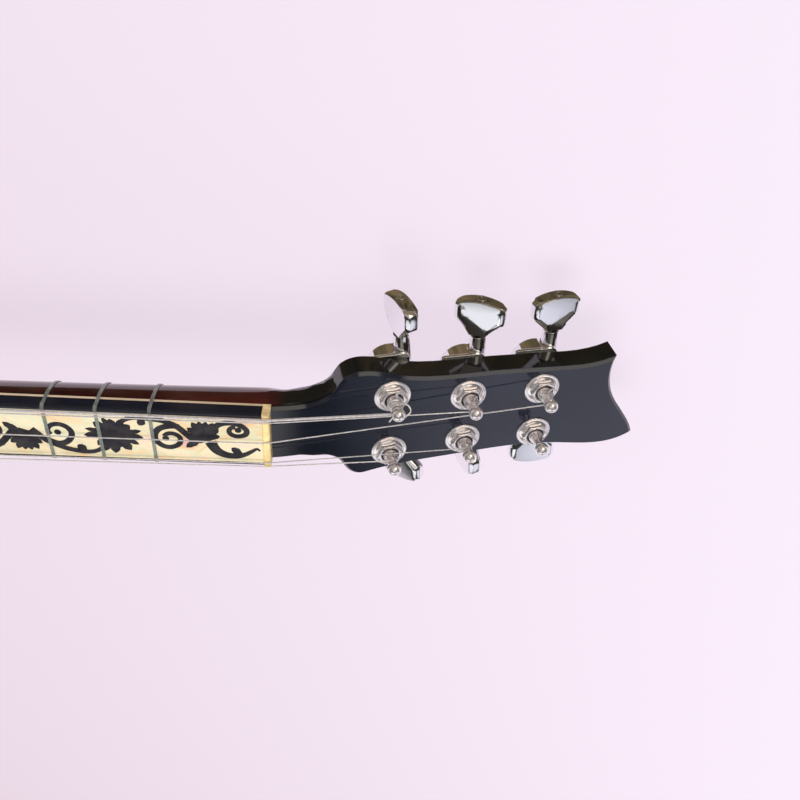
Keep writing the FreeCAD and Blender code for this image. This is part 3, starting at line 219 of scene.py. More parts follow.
# Dark ring in the gap between post and hexagon head: painted shade in the bore mouth.
BORE_SHADE_PROFILE = in_mm(
    (3.02, -2.0), (3.62, -2.0), (3.62, 2.75), (3.50, 2.88), (3.20, 2.88), (3.02, 2.70),
)
HEAD_PROFILE = tuple((r * mm, h * mm, six) for r, h, six in (
    (5.50, 0.60, True), (5.50, 3.05, True), (5.42, 3.30, True), (5.15, 3.48, True), (4.55, 3.52, False),
    (4.05, 3.44, False), (3.72, 3.26, False), (3.64, 2.90, False), (3.64, -6.2, False), (4.65, -6.2, False),
    (4.65, 0.60, False),
))

# Keystone buttons: outline as share of length and half width, and rim as inset, height and share of the outline
BUTTON_OUTLINE = (
    (0.0, 0.33), (0.02, 0.36), (0.06, 0.42), (0.16, 0.58), (0.28, 0.78), (0.37, 0.93), (0.41, 0.975), (0.48, 0.99),
    (0.60, 1.0), (0.74, 1.0), (0.80, 0.975), (0.84, 0.91), (0.875, 0.84), (0.90, 0.78), (0.93, 0.66), (0.958, 0.51),
    (0.98, 0.35), (0.994, 0.18),
)
BUTTON_RIM = tuple((inset * mm, h * mm, share) for inset, h, share in (
    (0.0, 1.40, 1.0), (0.07, 1.62, 1.0), (1.40, 2.86, 1.0), (1.66, 3.00, 1.0), (1.70, 3.05, 0.82), (1.70, 3.09, 0.62),
    (1.70, 3.12, 0.42), (1.70, 3.14, 0.22), (1.70, 3.15, 0.02),
))
BUTTON_END_EASE = 0.4
BUTTON_END = 0.85
BUTTON_FOOT_EASE = (0.2, 2.4)
BUTTON_MIDDLE = 0.62
BUTTON_CORNER = 0.985
SCREW_PROFILE = in_mm(
    (2.1, -1.6), (2.1, -0.05), (1.95, 0.12), (1.6, 0.22), (0.95, 0.22), (0.8, -0.12), (0.02, -0.16),
)

# Spare wire at the first post, from the ball's middle, in mm across and up the picture
SPARE_RADIUS = 0.30 * mm
CURL = ((2.6, -0.9), (3.4, 0.0), (4.5, 1.0), (4.6, 2.2), (3.8, 3.6), (2.0, 4.3), (0.6, 3.9))
CURL_TAIL = ((-1.9, -1.0), (-2.7, -1.9), (-3.6, -3.0))

# Tied frets; the knot's loop and tails in mm from the knot
TIE_STRANDS = 3
STRAND_RADIUS = 0.24 * mm
STRAND_PITCH = 0.47 * mm
STRAND_SIDES = 6
STRAND_LIFT = 1.02
TIE_STEPS = 60
TIE_CORE = BOARD_TOP - BOARD_THICKNESS * 1.5
KNOT_LEVEL = BOARD_TOP - BOARD_THICKNESS * 1.15
KNOT_OUT = STRAND_RADIUS * 2.4
KNOT_LOOP = (0.85, 0.2, 0.5)
KNOT_STEPS = 16
KNOT_TAIL_RADIUS = STRAND_RADIUS * 0.9
KNOT_TAIL = ((0.7, 0.0, 0.0), (1.8, -0.25, -0.3), (2.4, -0.2, -1.0))

# Wires: where a string is met at its tail, bridge, nut and post, its turns, and its cut tail as shares of the last
# step and mm outwards and upwards
TAIL_SLICE = 0.3 * mm
BRIDGE_SLICE = 0.6 * mm
NUT_SLICE = 0.5 * mm
NUT_CROWN = 0.4
HEAD_START = 10 * mm
NEAR_POST = 5 * mm
WIRE_SIDES = 10
WINDING_TURNS = 3
WINDING_STEPS = 20
WINDING_PITCH = 2.05
WINDING_SIDES = 8
CUT_TAIL = ((0.8, 0.3, 0.0), (0.5, 1.2, 0.5), (0.0, 1.6, 0.9))


def new_object(name, data):
    thing = bpy.data.objects.new(name, data)
    bpy.context.scene.collection.objects.link(thing)
    return thing


def place_camera():
    """Puts the camera where the photograph was taken from."""
    camera = new_object("camera", bpy.data.cameras.new("camera"))
    camera.data.lens = LENS
    camera.data.sensor_width = 36.0
    camera.data.clip_start = 0.01
    forward = CAMERA_FORWARD.normalized()
    right = (CAMERA_RIGHT - forward * CAMERA_RIGHT.dot(forward)).normalized()
    up = right.cross(forward)
    turn = Matrix((right, up, -forward)).transposed().to_4x4()
    camera.matrix_world = Matrix.Translation(Vector((NUT_X, 0, BOARD_TOP)) + CAMERA_FROM_NUT) @ turn
    bpy.context.scene.camera = camera


def grey(level):
    return (level, level, level)


class Tree:
    """The node tree of a world or a material."""

    def __init__(self, tree):
        self.nodes = tree.nodes
        self.links = tree.links

    def put(self, socket, value):
        """Links or sets one input."""
        if hasattr(value, "links"):
            self.links.new(value, socket)
        elif isinstance(value, tuple):
            socket.default_value = (*value, 1.0)[:len(socket.default_value)]
        else:
            socket.default_value = value

    def node(self, kind, **inputs):
        """A new node with its inputs by name, or by number as i0, i1 and so on."""
        made = self.nodes.new(kind)
        for key, value in inputs.items():
            self.put(made.inputs[int(key[1:]) if key[1:].isdigit() else key.replace("_", " ")], value)
        return made

    def mix(self, factor, first, second, how="MIX"):
        made = self.nodes.new("ShaderNodeMix")
        made.data_type = "RGBA"
        made.blend_type = how
        for index, value in ((0, factor), (6, first), (7, second)):
            self.put(made.inputs[index], value)
        return made.outputs[2]

    def sum(self, operation, first, second):
        made = self.node("ShaderNodeMath", i0=first, i1=second)
        made.operation = operation
        return made.outputs[0]

    def vector(self, operation, *values):
        made = self.node("ShaderNodeVectorMath", **{"i%d" % k: value for k, value in enumerate(values)})
        made.operation = operation
        return made.outputs

    def fade(self, value, start, full, how="LINEAR"):
        """From 0 to 1 while a value goes from start to full."""
        made = self.node("ShaderNodeMapRange", Value=value, From_Min=start, From_Max=full)
        made.interpolation_type = how
        return made.outputs["Result"]

    def visible_rays(self):
        """One for camera, glossy and transmission rays, which all see the same pale room."""
        path = self.nodes.new("ShaderNodeLightPath")
        total = path.outputs["Is Camera Ray"]
        for kind in ("Is Glossy Ray", "Is Transmission Ray"):
            total = self.sum("MAXIMUM", total, path.outputs[kind])
        return total

    def choose(self, share, first, second, end):
        """Mixes two shaders into the output node."""
        made = self.node("ShaderNodeMixShader", i0=share, i1=first.outputs[0], i2=second.outputs[0])
        self.links.new(made.outputs[0], end.inputs["Surface"])


class Finish(Tree):
    """A node material under construction."""

    def __init__(self, name, **inputs):
        self.material = bpy.data.materials.new(name)
        self.material.use_nodes = True
        super().__init__(self.material.node_tree)
        self.shader = self.nodes["Principled BSDF"]
        self.end = self.nodes["Material Output"]
        for key, value in inputs.items():
            self.set(key.replace("_", " "), value)

    def set(self, socket, value):
        self.put(self.shader.inputs[socket], value)

    def place(self, scale=(1, 1, 1), shift=(0, 0, 0)):
        """Object coordinates, stretched and moved."""
        source = self.nodes.new("ShaderNodeTexCoord").outputs["Object"]
        return self.node("ShaderNodeMapping", Vector=source, Scale=scale, Location=shift).outputs["Vector"]

    def noise(self, scale, detail=2.0, roughness=0.5, distortion=0.0, stretch=(1, 1, 1)):
        made = self.node(
            "ShaderNodeTexNoise", Vector=self.place(stretch), Scale=scale, Detail=detail,
            Roughness=roughness, Distortion=distortion,
        )
        return made.outputs["Fac"]

    def ramp(self, value, *stops):
        """Maps a value through colour stops of (position, colour)."""
        made = self.node("ShaderNodeValToRGB", Fac=value)
        ramp = made.color_ramp
        while len(ramp.elements) < len(stops):
            ramp.elements.new(0.5)
        for element, (position, color) in zip(ramp.elements, stops):
            element.position = position
            element.color = (*color, 1.0)
        return made.outputs["Color"]

    def paint(self, value, *stops):
        self.set("Base Color", self.ramp(value, *stops))

    def dull(self, value, *stops):
        """Roughness from a value, through stops of (position, roughness)."""
        self.set("Roughness", self.ramp(value, *((position, grey(level)) for position, level in stops)))

    def bump(self, height, strength, distance, edge=0.0):
        """Relief from a height; with an edge radius, corners catch light as if they were eased by it."""
        made = self.node("ShaderNodeBump", Height=height, Strength=strength, Distance=distance)
        if edge:
            eased = self.node("ShaderNodeBevel", Radius=edge)
            eased.samples = BEVEL_SAMPLES
            self.links.new(eased.outputs["Normal"], made.inputs["Normal"])
        self.set("Normal", made.outputs["Normal"])

    def coat(self, weight, roughness=GLOSS_ROUGHNESS):
        """A layer of clear lacquer."""
        self.set("Coat Weight", weight)
        self.set("Coat Roughness", roughness)


def black_lacquer():
    """Deep, slightly blue gloss with faint orange peel and hairline polish marks."""
    finish = Finish("black_lacquer", IOR=1.52, Specular_IOR_Level=0.1)
    cloud = finish.noise(14.0, 3.0)
    finish.paint(cloud, (0.35, (0.006, 0.007, 0.012)), (0.7, (0.013, 0.016, 0.028)))
    marks = finish.noise(160.0, 4.0, stretch=(1.0, 6.0, 1.0))
    finish.dull(marks, (0.4, 0.07), (0.75, 0.16))
    finish.coat(0.85, 0.035)
    finish.bump(finish.noise(240.0, 2.0), 0.05, 0.0003, 0.7 * mm)
    return finish.material


def figured_lacquer(name, deep, warm, streak_scale, long_scale, black_from=None):
    """Dark red lacquer over streaky figured wood, nearly black in places and quite black from one place on."""
    finish = Finish(name, IOR=1.5, Roughness=0.16, Specular_IOR_Level=0.15)
    streaks = finish.noise(streak_scale, 5.0, 0.62, 0.6, stretch=(long_scale, 1.0, 1.0))
    patches = finish.noise(streak_scale * 0.22, 2.0, stretch=(0.5, 1.0, 1.0))
    colour = finish.ramp(streaks, (0.36, deep), (0.52, tuple(c * 0.55 for c in warm)), (0.70, warm))
    shade = finish.ramp(patches, (0.40, grey(0.18)), (0.62, grey(1.0)))
    colour = finish.mix(1.0, colour, shade, "MULTIPLY")
    if black_from is not None:
        along = finish.node("ShaderNodeSeparateXYZ", Vector=finish.place()).outputs["X"]
        colour = finish.mix(finish.fade(along, black_from, black_from + RED_FADE), colour, (0.005, 0.006, 0.006))
    finish.set("Base Color", colour)
    finish.coat(1.0)
    finish.bump(finish.noise(120.0, 2.0), 0.05, 0.0006, 0.8 * mm)
    return finish.material


def top_wood():
    """A burst-stained, straight-grained soundboard under gloss."""
    finish = Finish("top_wood", IOR=1.5, Roughness=0.18)
    grain = finish.noise(75.0, 4.0, 0.6, 0.2, stretch=(0.05, 1.0, 1.0))
    wood = finish.ramp(grain, (0.32, (0.30, 0.115, 0.03)), (0.5, (0.47, 0.20, 0.06)), (0.72, (0.56, 0.27, 0.095)))
    low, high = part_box("soundboard")
    reach = [(b - a) / 2 for a, b in zip(low, high)]
    centre = (low[0] + high[0]) / 2 - reach[0] * 0.22
    scale = (1 / (reach[0] * 1.02), 1 / (reach[1] * 0.98), 0)
    far = finish.vector("LENGTH", finish.place(scale=scale, shift=(-centre * scale[0], 0, 0)))
    edge = finish.ramp(far["Value"], (0.52, grey(0.0)), (0.98, grey(1.0)))
    finish.set("Base Color", finish.mix(edge, wood, (0.012, 0.003, 0.003)))
    finish.coat(1.0)
    return finish.material


def pearl():
    """Laminated pearl: cream and yellow pieces with rosy, shifting veins."""
    finish = Finish(
        "pearl", IOR=1.6, Roughness=0.16, Sheen_Weight=0.25, Thin_Film_Thickness=380.0, Thin_Film_IOR=1.35,
    )
    veins = finish.noise(52.0, 6.0, 0.62, 1.4, stretch=(0.55, 1.0, 1.0))
    plates = finish.node("ShaderNodeTexVoronoi", Vector=finish.place(scale=(0.38, 1.0, 1.0)), Scale=70.0)
    base = finish.ramp(
        veins, (0.30, (0.70, 0.40, 0.30)), (0.42, (0.82, 0.60, 0.30)), (0.50, (0.72, 0.70, 0.46)),
        (0.58, (0.86, 0.72, 0.44)), (0.70, (0.84, 0.60, 0.54)),
    )
    tone = finish.ramp(plates.outputs["Color"], (0.2, (0.90, 0.80, 0.62)), (0.8, (1.0, 0.97, 0.90)))
    finish.set("Base Color", finish.mix(0.55, base, tone, "MULTIPLY"))
    finish.coat(0.8, 0.04)
    finish.bump(veins, 0.08, 0.0005)
    return finish.material


def ivory():
    """Cream binding with a fine lengthwise grain."""
    finish = Finish("ivory", IOR=1.5, Roughness=0.28, Subsurface_Weight=0.1, Subsurface_Radius=SCATTER, Coat_Weight=0.6)
    grain = finish.noise(60.0, 3.0, stretch=(0.1, 1.0, 4.0))
    finish.paint(grain, (0.35, (0.66, 0.52, 0.30)), (0.7, (0.83, 0.71, 0.47)))
    return finish.material


def bone():
    """Butter-yellow bone with fine pores."""
    finish = Finish("bone", IOR=1.54, Roughness=0.3, Subsurface_Weight=0.15, Subsurface_Radius=SCATTER)
    pores = finish.noise(420.0, 4.0, 0.6, stretch=(1.0, 0.35, 1.0))
    finish.paint(pores, (0.35, (0.72, 0.52, 0.20)), (0.6, (0.90, 0.72, 0.34)))
    finish.bump(pores, 0.15, 0.0001)
    return finish.material


def nylon():
    """Translucent grey-green monofilament."""
    finish = Finish("nylon", IOR=1.53, Roughness=0.22, Transmission_Weight=0.6, Coat_Weight=0.3)
    cloud = finish.noise(300.0, 2.0)
    finish.paint(cloud, (0.3, (0.34, 0.38, 0.33)), (0.7, (0.52, 0.56, 0.48)))
    return finish.material


def ink():
    """Black inlay of the scroll work, level with the pearl."""
    finish = Finish("ink", IOR=1.5, Roughness=0.35, Specular_IOR_Level=0.3)
    worn = finish.noise(260.0, 3.0)
    finish.paint(worn, (0.4, (0.008, 0.007, 0.010)), (0.8, (0.035, 0.030, 0.034)))
    return finish.material


def chrome(name="chrome", roughness=0.045, color=(0.90, 0.90, 0.92), metallic=1.0):
    """Bright plated metal with a trace of ripple and handling marks."""
    finish = Finish(name, Metallic=metallic, Base_Color=color)
    smear = finish.noise(180.0, 3.0)
    finish.dull(smear, (0.35, roughness), (0.8, roughness * 2.4))
    finish.bump(finish.noise(130.0, 2.0), 0.04, 0.0005, 0.45 * mm)
    return finish.material


def turned_metal(name, color, roughness, metallic=1.0):
    """Machined metal with fine tool rings."""
    finish = Finish(name, Metallic=metallic, Roughness=roughness)
    rings = finish.noise(900.0, 2.0)
    dark = tuple(c * 0.72 for c in color)
    finish.paint(rings, (0.35, dark), (0.7, color))
    finish.bump(rings, 0.1, 0.0001)
    return finish.material


def moulded(name, level, roughness, grain, depth):
    """Moulded plastic or hard rubber with its own grain."""
    finish = Finish(name, IOR=1.5)
    texture = finish.noise(grain, 3.0)
    finish.paint(texture, (0.3, grey(level * 0.7)), (0.7, grey(level * 1.2)))
    finish.dull(texture, (0.3, roughness * 0.8), (0.7, roughness * 1.25))
    finish.bump(texture, depth, 0.0002)
    return finish.material


def plain_wood(name, dark, pale):
    """Unlacquered wood with grain along the instrument."""
    finish = Finish(name, IOR=1.45, Roughness=0.55)
    grain = finish.noise(110.0, 4.0, 0.6, 0.4, stretch=(0.08, 1.0, 1.0))
    finish.paint(grain, (0.35, dark), (0.65, pale))
    finish.bump(grain, 0.2, 0.0003)
    return finish.material


def coil_wire():
    """Close-wound enamelled wire."""
    finish = Finish("coil_wire", Metallic=0.7, Roughness=0.35)
    turns = finish.node("ShaderNodeTexWave", Vector=finish.place(), Scale=900.0)
    turns.bands_direction = "Z"
    finish.paint(turns.outputs["Fac"], (0.2, (0.20, 0.05, 0.02)), (0.8, (0.55, 0.2, 0.08)))
    finish.bump(turns.outputs["Fac"], 0.3, 0.0001)
    return finish.material


def dress_nodes():
    """Gives every CAD node its finish."""
    finishes = {
        "black_lacquer": black_lacquer(),
        "neck": figured_lacquer("neck_lacquer", (0.004, 0.002, 0.003), (0.085, 0.009, 0.008), 38.0, 0.16, NUT_X),
        "body": figured_lacquer("body_lacquer", (0.006, 0.002, 0.003), (0.15, 0.016, 0.016), 22.0, 0.3),
        "top": top_wood(), "pearl": pearl(), "ivory": ivory(), "bone": bone(),
        "chrome": chrome(), "satin": chrome("satin_chrome", 0.10, (0.95, 0.89, 0.87), 0.8),
        "steel": turned_metal("steel", (0.56, 0.56, 0.58), 0.3),
        "brass": turned_metal("brass", (0.80, 0.58, 0.24), 0.28),
        "wire": turned_metal("wire", (0.88, 0.83, 0.80), 0.25, 0.5),
        "gloss_plastic": moulded("gloss_plastic", 0.012, 0.14, 300.0, 0.03),
        "grained_plastic": moulded("grained_plastic", 0.02, 0.5, 900.0, 0.3),
        "bridge_wood": plain_wood("bridge_wood", (0.07, 0.03, 0.012), (0.17, 0.075, 0.03)),
        "inner_wood": plain_wood("inner_wood", (0.42, 0.30, 0.16), (0.62, 0.48, 0.30)),
        "coil": coil_wire(), "nylon": nylon(), "ink": ink(),
    }
    nodes_of = {
        "neck": "neck", "body": "body_bowl", "top": "soundboard", "inner_wood": "soundboard_braces", "bone": "nut",
        "bridge_wood": "bridge", "black_lacquer": "headstock_overlay fingerboard", "pearl": "fingerboard_inlay",
        "ivory": "neck_binding body_binding", "nylon": "fret_ties", "coil": "pickup_coils",
        "grained_plastic": "control_cover pickup_bobbins", "steel": "pickup_poles pot_cases volume_shaft tone_shaft",
        "gloss_plastic": "pickup_covers shaft_washers volume_knob tone_knob",
    }
    by_node = {node: finish for finish, nodes in nodes_of.items() for node in nodes.split()}
    for name, thing in frame["nodes"].items():
        if name.startswith("string") and "post" not in name:
            chosen = "wire"
        elif name.startswith("tuner_gear"):
            chosen = "brass"
        elif name.startswith("tuner_worm"):
            chosen = "steel"
        else:
            chosen = by_node.get(name, "chrome")
        thing.data.materials.clear()
        thing.data.materials.append(finishes[chosen])
    return finishes


def set_surroundings():
    """A pale seamless room: lavender wherever it is seen, white above for the light."""
    world = bpy.data.worlds.new("room")
    bpy.context.scene.world = world
    world.use_nodes = True
    tree = Tree(world.node_tree)
    tree.nodes.clear()
    place = tree.nodes.new("ShaderNodeTexCoord").outputs["Generated"]
    height = tree.node("ShaderNodeSeparateXYZ", Vector=place).outputs["Z"]
    colour = tree.mix(tree.fade(height, 0.0, ROOM_TOP, "SMOOTHSTEP"), ROOM_LOW, ROOM_WHITE)
    light = tree.node("ShaderNodeBackground", Color=colour, Strength=ROOM_LEVEL)
    seen = tree.node("ShaderNodeBackground", Color=HORIZON_PALE)
    tree.choose(tree.visible_rays(), light, seen, tree.nodes.new("ShaderNodeOutputWorld"))


def lay_floor():
    """The seamless sheet below: to camera and reflections mostly a glow with painted shade that darkens it along a
    slope, over the lit sheet, which keeps the shadow.
    """
    bpy.ops.mesh.primitive_plane_add(size=FLOOR_SIZE, location=FLOOR_PLACE)
    floor = bpy.context.object
    floor.name = "backdrop_floor"
    finish = Finish("backdrop", Roughness=0.9, Base_Color=FLOOR_PALE)
    place = finish.nodes.new("ShaderNodeNewGeometry").outputs["Position"]
    slope, start = BACKDROP_SHADE_SLOPE
    # Painted shade: the glow's colour runs from pale to darker along the slope.
    level = finish.sum("ADD", finish.vector("DOT_PRODUCT", place, slope)["Value"], start)
    glow = finish.node("ShaderNodeEmission", Color=finish.ramp(level, (0.0, BACKDROP_PAINTED_SHADE), (1.0, BACKDROP_PALE)))
    share = finish.sum("MULTIPLY", finish.visible_rays(), FLOOR_GLOW)
    finish.choose(share, finish.shader, glow, finish.end)
    floor.data.materials.append(finish.material)


def tent_colour(finish):
    """The tent's panels, each blended over the ones before it by direction from the tent's middle."""
    place = finish.nodes.new("ShaderNodeNewGeometry").outputs["Position"]
    unit = finish.vector("NORMALIZE", finish.vector("SUBTRACT", place, TENT_CENTRE)["Vector"])["Vector"]
    level = finish.node("ShaderNodeSeparateXYZ", Vector=unit).outputs["Z"]
    start, full, pale = TENT_SWEEP
    colour = finish.mix(finish.fade(level, start, full), TENT_BASE, pale)
    for direction, start, full, panel in TENT_PANELS:
        towards = finish.vector("DOT_PRODUCT", unit, Vector(direction).normalized())["Value"]
        colour = finish.mix(finish.fade(towards, start, full, "SMOOTHSTEP"), colour, panel)
    return colour


def card_colour(finish):
    """Dark card with brown streaks."""
    streaks = finish.noise(9.0, 3.0, stretch=(5.0, 1.0, 1.0))
    return finish.ramp(streaks, *FLOOR_CARD)


def flag(thing, name, colour_of):
    """Makes an object a flag: it glows in a colour worked out from its nodes, and only polished surfaces see it."""
    finish = Finish(name)
    glow = finish.node("ShaderNodeEmission", Color=colour_of(finish))
    finish.links.new(glow.outputs[0], finish.end.inputs["Surface"])
    thing.data.materials.append(finish.material)
    for ray in ("camera", "diffuse", "transmission", "volume_scatter", "shadow"):
        setattr(thing, "visible_" + ray, False)


def hang_flags():
    """The tent of soft panels and the dark card in front, which give the metal and lacquer their contrast."""
    bpy.ops.mesh.primitive_uv_sphere_add(
        radius=TENT_RADIUS, location=TENT_CENTRE, segments=TENT_SEGMENTS, ring_count=TENT_SEGMENTS // 2,
    )
    tent = bpy.context.object
    flag(tent, "tent", tent_colour)
    tent.name = "tent"
    low_x, low_y, high_x, high_y = FLOOR_CARD_BOX
    mesh = bpy.data.meshes.new("floor_card")
    corners = ((low_x, low_y), (high_x, low_y), (high_x, high_y), (low_x, high_y))
    mesh.from_pydata([(NUT_X + x, y, FLOOR_CARD_LEVEL) for x, y in corners], [], [(0, 1, 2, 3)])
    flag(new_object("floor_card", mesh), "floor_card", card_colour)


def light_the_scene():
    """The rectangular studio lamps, set out from the nut and aimed at it; polished surfaces don't see them."""
    head = Vector((NUT_X, 0, BOARD_TOP))
    for name, (x, y, z), (width, depth), watts, color in LAMPS:
        lamp = bpy.data.lights.new(name, "AREA")
        lamp.shape = "RECTANGLE"
        lamp.size = width
        lamp.size_y = depth
        lamp.energy = watts
        lamp.color = color
        thing = new_object(name, lamp)
        thing.location = (NUT_X + x, y, z)
        thing.rotation_euler = (head - thing.location).to_track_quat("-Z", "Y").to_euler()
        thing.visible_glossy = False


def smooth(points):
    """Points of an even curve through given ones."""
    ends = [points[0] * 2 - points[1]] + list(points) + [points[-1] * 2 - points[-2]]
    out = []
    for a, b, c, d in zip(ends, ends[1:], ends[2:], ends[3:]):
        for k in range(CURVE_STEPS):
            t = k / CURVE_STEPS
            out.append(
                0.5 * (2 * b + (c - a) * t + (2 * a - 5 * b + 4 * c - d) * t * t + (3 * b - a - 3 * c + d) * t ** 3)
            )
    return out + [points[-1]]


def round_angles(count):
    return [2 * math.pi * k / count for k in range(count)]


def add_piece(name, solids, finish, body, soft=True):
    """Makes one new piece of the object that rides on a body; soft ones are shaded smooth but for their corners."""
    mesh = bpy.data.meshes.new(name)
    mesh.from_pydata([tuple(v) for v in solids.vertices], [], solids.faces)
    mesh.update()
    thing = new_object(name, mesh)
    mesh.materials.append(FINISHES[finish])
    if soft:
        mesh.shade_smooth()
        mesh.set_sharp_from_angle(angle=SOFT_ANGLE)
    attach(thing, body)
    return thing


class Solids:
    """Gathers the vertices and faces of many small solids into one piece."""

    def __init__(self):
        self.vertices = []
        self.faces = []

    def rows(self, rows, closed=False):
        """Skins equal rings of points."""
        first = len(self.vertices)
        size = len(rows[0])
        for row in rows:
            self.vertices.extend(row)
        count = len(rows)
        for j in range(count if closed else count - 1):
            low, high = first + j * size, first + (j + 1) % count * size
            for k in range(size):
                after = (k + 1) % size
                self.faces.append((low + k, low + after, high + after, high + k))
        if not closed:
            self.faces.append(tuple(range(first + size - 1, first - 1, -1)))
            self.faces.append(tuple(range(first + (count - 1) * size, first + count * size)))

    def tube(self, path, radius, sides=8, closed=False):
        """A round wire along a path."""
        rows = []
        normal = None
        for k, point in enumerate(path):
            before = path[k - 1] if k or closed else point
            after = path[(k + 1) % len(path)] if k + 1 < len(path) or closed else point
            along = (after - before).normalized()
            if normal is None:
                normal = along.orthogonal().normalized()
            normal = (normal - along * normal.dot(along)).normalized()
            other = along.cross(normal)
            rows.append([
                point + (normal * math.cos(a) + other * math.sin(a)) * radius for a in round_angles(sides)
            ])
        self.rows(rows, closed)

    def turned(self, foot, axis, profile, sides=TURNED_SIDES, closed=False):
        """A turned body from (radius, height) pairs along an axis; closed joins the last pair to the first."""
        across = axis.orthogonal().normalized()
        other = axis.cross(across)
        angles = round_angles(sides)
        self.rows([
            [foot + axis * h + (across * math.cos(a) + other * math.sin(a)) * r for a in angles] for r, h in profile
        ], closed)

    def slab(self, outline, low, high):
        """A flat plate with an outline, between two levels."""
        self.rows([[Vector((p.x, p.y, z)) for p in outline] for z in (low, high)])


def panel_half_width(x):
    """The pearl panel's half width, worked out from its mesh's two ends."""
    share = (x - PEARL_LOW.x) / (PEARL_HIGH.x - PEARL_LOW.x)
    return PANEL_ENDS[0] + (PANEL_ENDS[1] - PANEL_ENDS[0]) * share


def end_half_width(node, x):
    """The half width of a node near one of its ends."""
    return max(abs(v.co.y) for v in frame["nodes"][node].data.vertices if abs(v.co.x - x) < mm)


PANEL_ENDS = [end_half_width("fingerboard_inlay", x) for x in (PEARL_LOW.x, PEARL_HIGH.x)]


class Scroll:
    """Lays black scroll work on the pearl panel."""

    def __init__(self):
        self.solids = Solids()
        self.laid = 0

    def on_panel(self, unit, x, y):
        """Row place of a point given in half widths, in one unit of the pattern; every second unit is mirrored."""
        half_at_end = PANEL_ENDS[1]
        along = NUT_X - SCROLL_FOOT + (x - unit * SCROLL_UNIT) * half_at_end
        flip = -1 if unit % 2 else 1
        return Vector((along, flip * y * panel_half_width(along), 0))

    def next_top(self):
        """The next plate's level; crossing plates get different ones, so that no two faces lie in one plane."""
        self.laid += 1
        share = self.laid * SCROLL_STRIDE % SCROLL_LEVELS / SCROLL_LEVELS
        return BOARD_TOP + SCROLL_RISE * (SCROLL_LOWEST + (1 - SCROLL_LOWEST) * share)

    def lay(self, outline):
        """Adds one plate unless it runs over the panel's ends."""
        xs = [p.x for p in outline]
        if min(xs) >= SCROLL_START and max(xs) <= PEARL_HIGH.x:
            self.solids.slab(outline, SCROLL_FLOOR, self.next_top())

    def stroke(self, unit, points, start, end):
        """A stem or spiral that tapers from one width to another, as a row of short plates."""
        path = smooth([self.on_panel(unit, x, y) for x, y in points])
        rims = []
        for k, point in enumerate(path):
            along = (path[min(k + 1, len(path) - 1)] - path[max(k - 1, 0)]).normalized()
            share = k / (len(path) - 1)
            reach = Vector((-along.y, along.x, 0)) * (start + (end - start) * share) * PANEL_ENDS[1] / 2
            rims.append((point + reach, point - reach))
        xs = [p.x for p in path]
        if min(xs) < SCROLL_START or max(xs) > SCROLL_STOP:
            rims = [r for r in rims if SCROLL_START < r[0].x < SCROLL_STOP]
        if len(rims) < 2:
            return
        low, top = SCROLL_FLOOR, self.next_top()
        self.solids.rows([
            [Vector((p.x, p.y, z)) for p, z in ((left, low), (right, low), (right, top), (left, top))]
            for left, right in rims
        ])

    def petal(self, unit, foot, tip, width):
        """A leaf with a pointed tip and one side lobe."""
        a, b = self.on_panel(unit, *foot), self.on_panel(unit, *tip)
        along = b - a
        across = Vector((-along.y, along.x, 0)).normalized() * width * PANEL_ENDS[1] / 2
        left = [a + along * t + across * w for t, w in PETAL_SHAPE]
        right = [a + along * t - across * w for t, w in reversed(PETAL_SHAPE)]
        self.lay(left + [b] + right)

    def disc(self, unit, place, radius):
        """A round plate."""
        centre = self.on_panel(unit, *place)
        size = radius * PANEL_ENDS[1]
        self.lay([centre + Vector((math.cos(a), math.sin(a), 0)) * size for a in round_angles(DISC_SIDES)])


def lay_scrolls():
    """The vine on the pearl: fan flowers, spirals, arches and rosettes, unit after unit towards the body."""
    scroll = Scroll()
    units = int((PEARL_HIGH.x - PEARL_LOW.x) / (SCROLL_UNIT * PANEL_ENDS[1])) + 2
    for points, start, end in END_STROKES:
        scroll.stroke(0, points, start, end)
    scroll.disc(0, END_BALL, BALL_SIZE)
    scroll.petal(0, END_BUD[:2], END_BUD[2:4], END_BUD[4])
    for unit in range(units):
        for x, y, width in FAN_PETALS:
            scroll.petal(unit, (x * FAN_FOOT[0], FAN_FOOT_RISE + y * FAN_FOOT[1]), (x, y), width)
        scroll.disc(unit, FAN_HEART, FAN_HEART_SIZE)
        for points, start, end in UNIT_STROKES:
            scroll.stroke(unit, points, start, end)
        for place in SPIRAL_BALLS:
            scroll.disc(unit, place, BALL_SIZE)
        along, aside = ROSETTE_PLACE
        for x, y, width in ROSETTE_PETALS:
            scroll.petal(unit, (along + x * ROSETTE_FOOT, aside + y * ROSETTE_FOOT), (along + x, y), width)
        scroll.disc(unit, ROSETTE_PLACE, ROSETTE_HEART_SIZE)
        for x, y, tip_x, tip_y, width in BUDS:
            scroll.petal(unit, (x, y), (tip_x, tip_y), width)
    add_piece("inlay_scrolls", scroll.solids, "ink", "instrument", False)


def loose_parts(node):
    """The separate solids of one node, each as its vertices."""
    mesh = frame["nodes"][node].data
    work = bmesh.new()
    work.from_mesh(mesh)
    bmesh.ops.remove_doubles(work, verts=work.verts, dist=0.001 * mm)
    parts, seen = [], set()
    for start in work.verts:
        if start.index in seen:
            continue
        found, open_set = [], [start]
        seen.add(start.index)
        while open_set:
            vertex = open_set.pop()
            found.append(vertex.co.copy())
            for edge in vertex.link_edges:
                other = edge.other_vert(vertex)
                if other.index not in seen:
                    seen.add(other.index)
                    open_set.append(other)
        parts.append(found)
    work.free()
    return parts


def middle(points):
    return sum(points, Vector()) / len(points)


def nearest_part(node, place):
    """The solid of a node that stands nearest to a place."""
    return min(loose_parts(node), key=lambda points: (middle(points) - place).length)


def post_radius(height):
    """The turned post's radius at a height over the headstock's face."""
    for (r, h), (after_r, after_h) in zip(POST_PROFILE, POST_PROFILE[1:]):
        if h <= height <= after_h and after_h > h:
            return r + (after_r - r) * (height - h) / (after_h - h)
    return POST_PROFILE[-1][0]


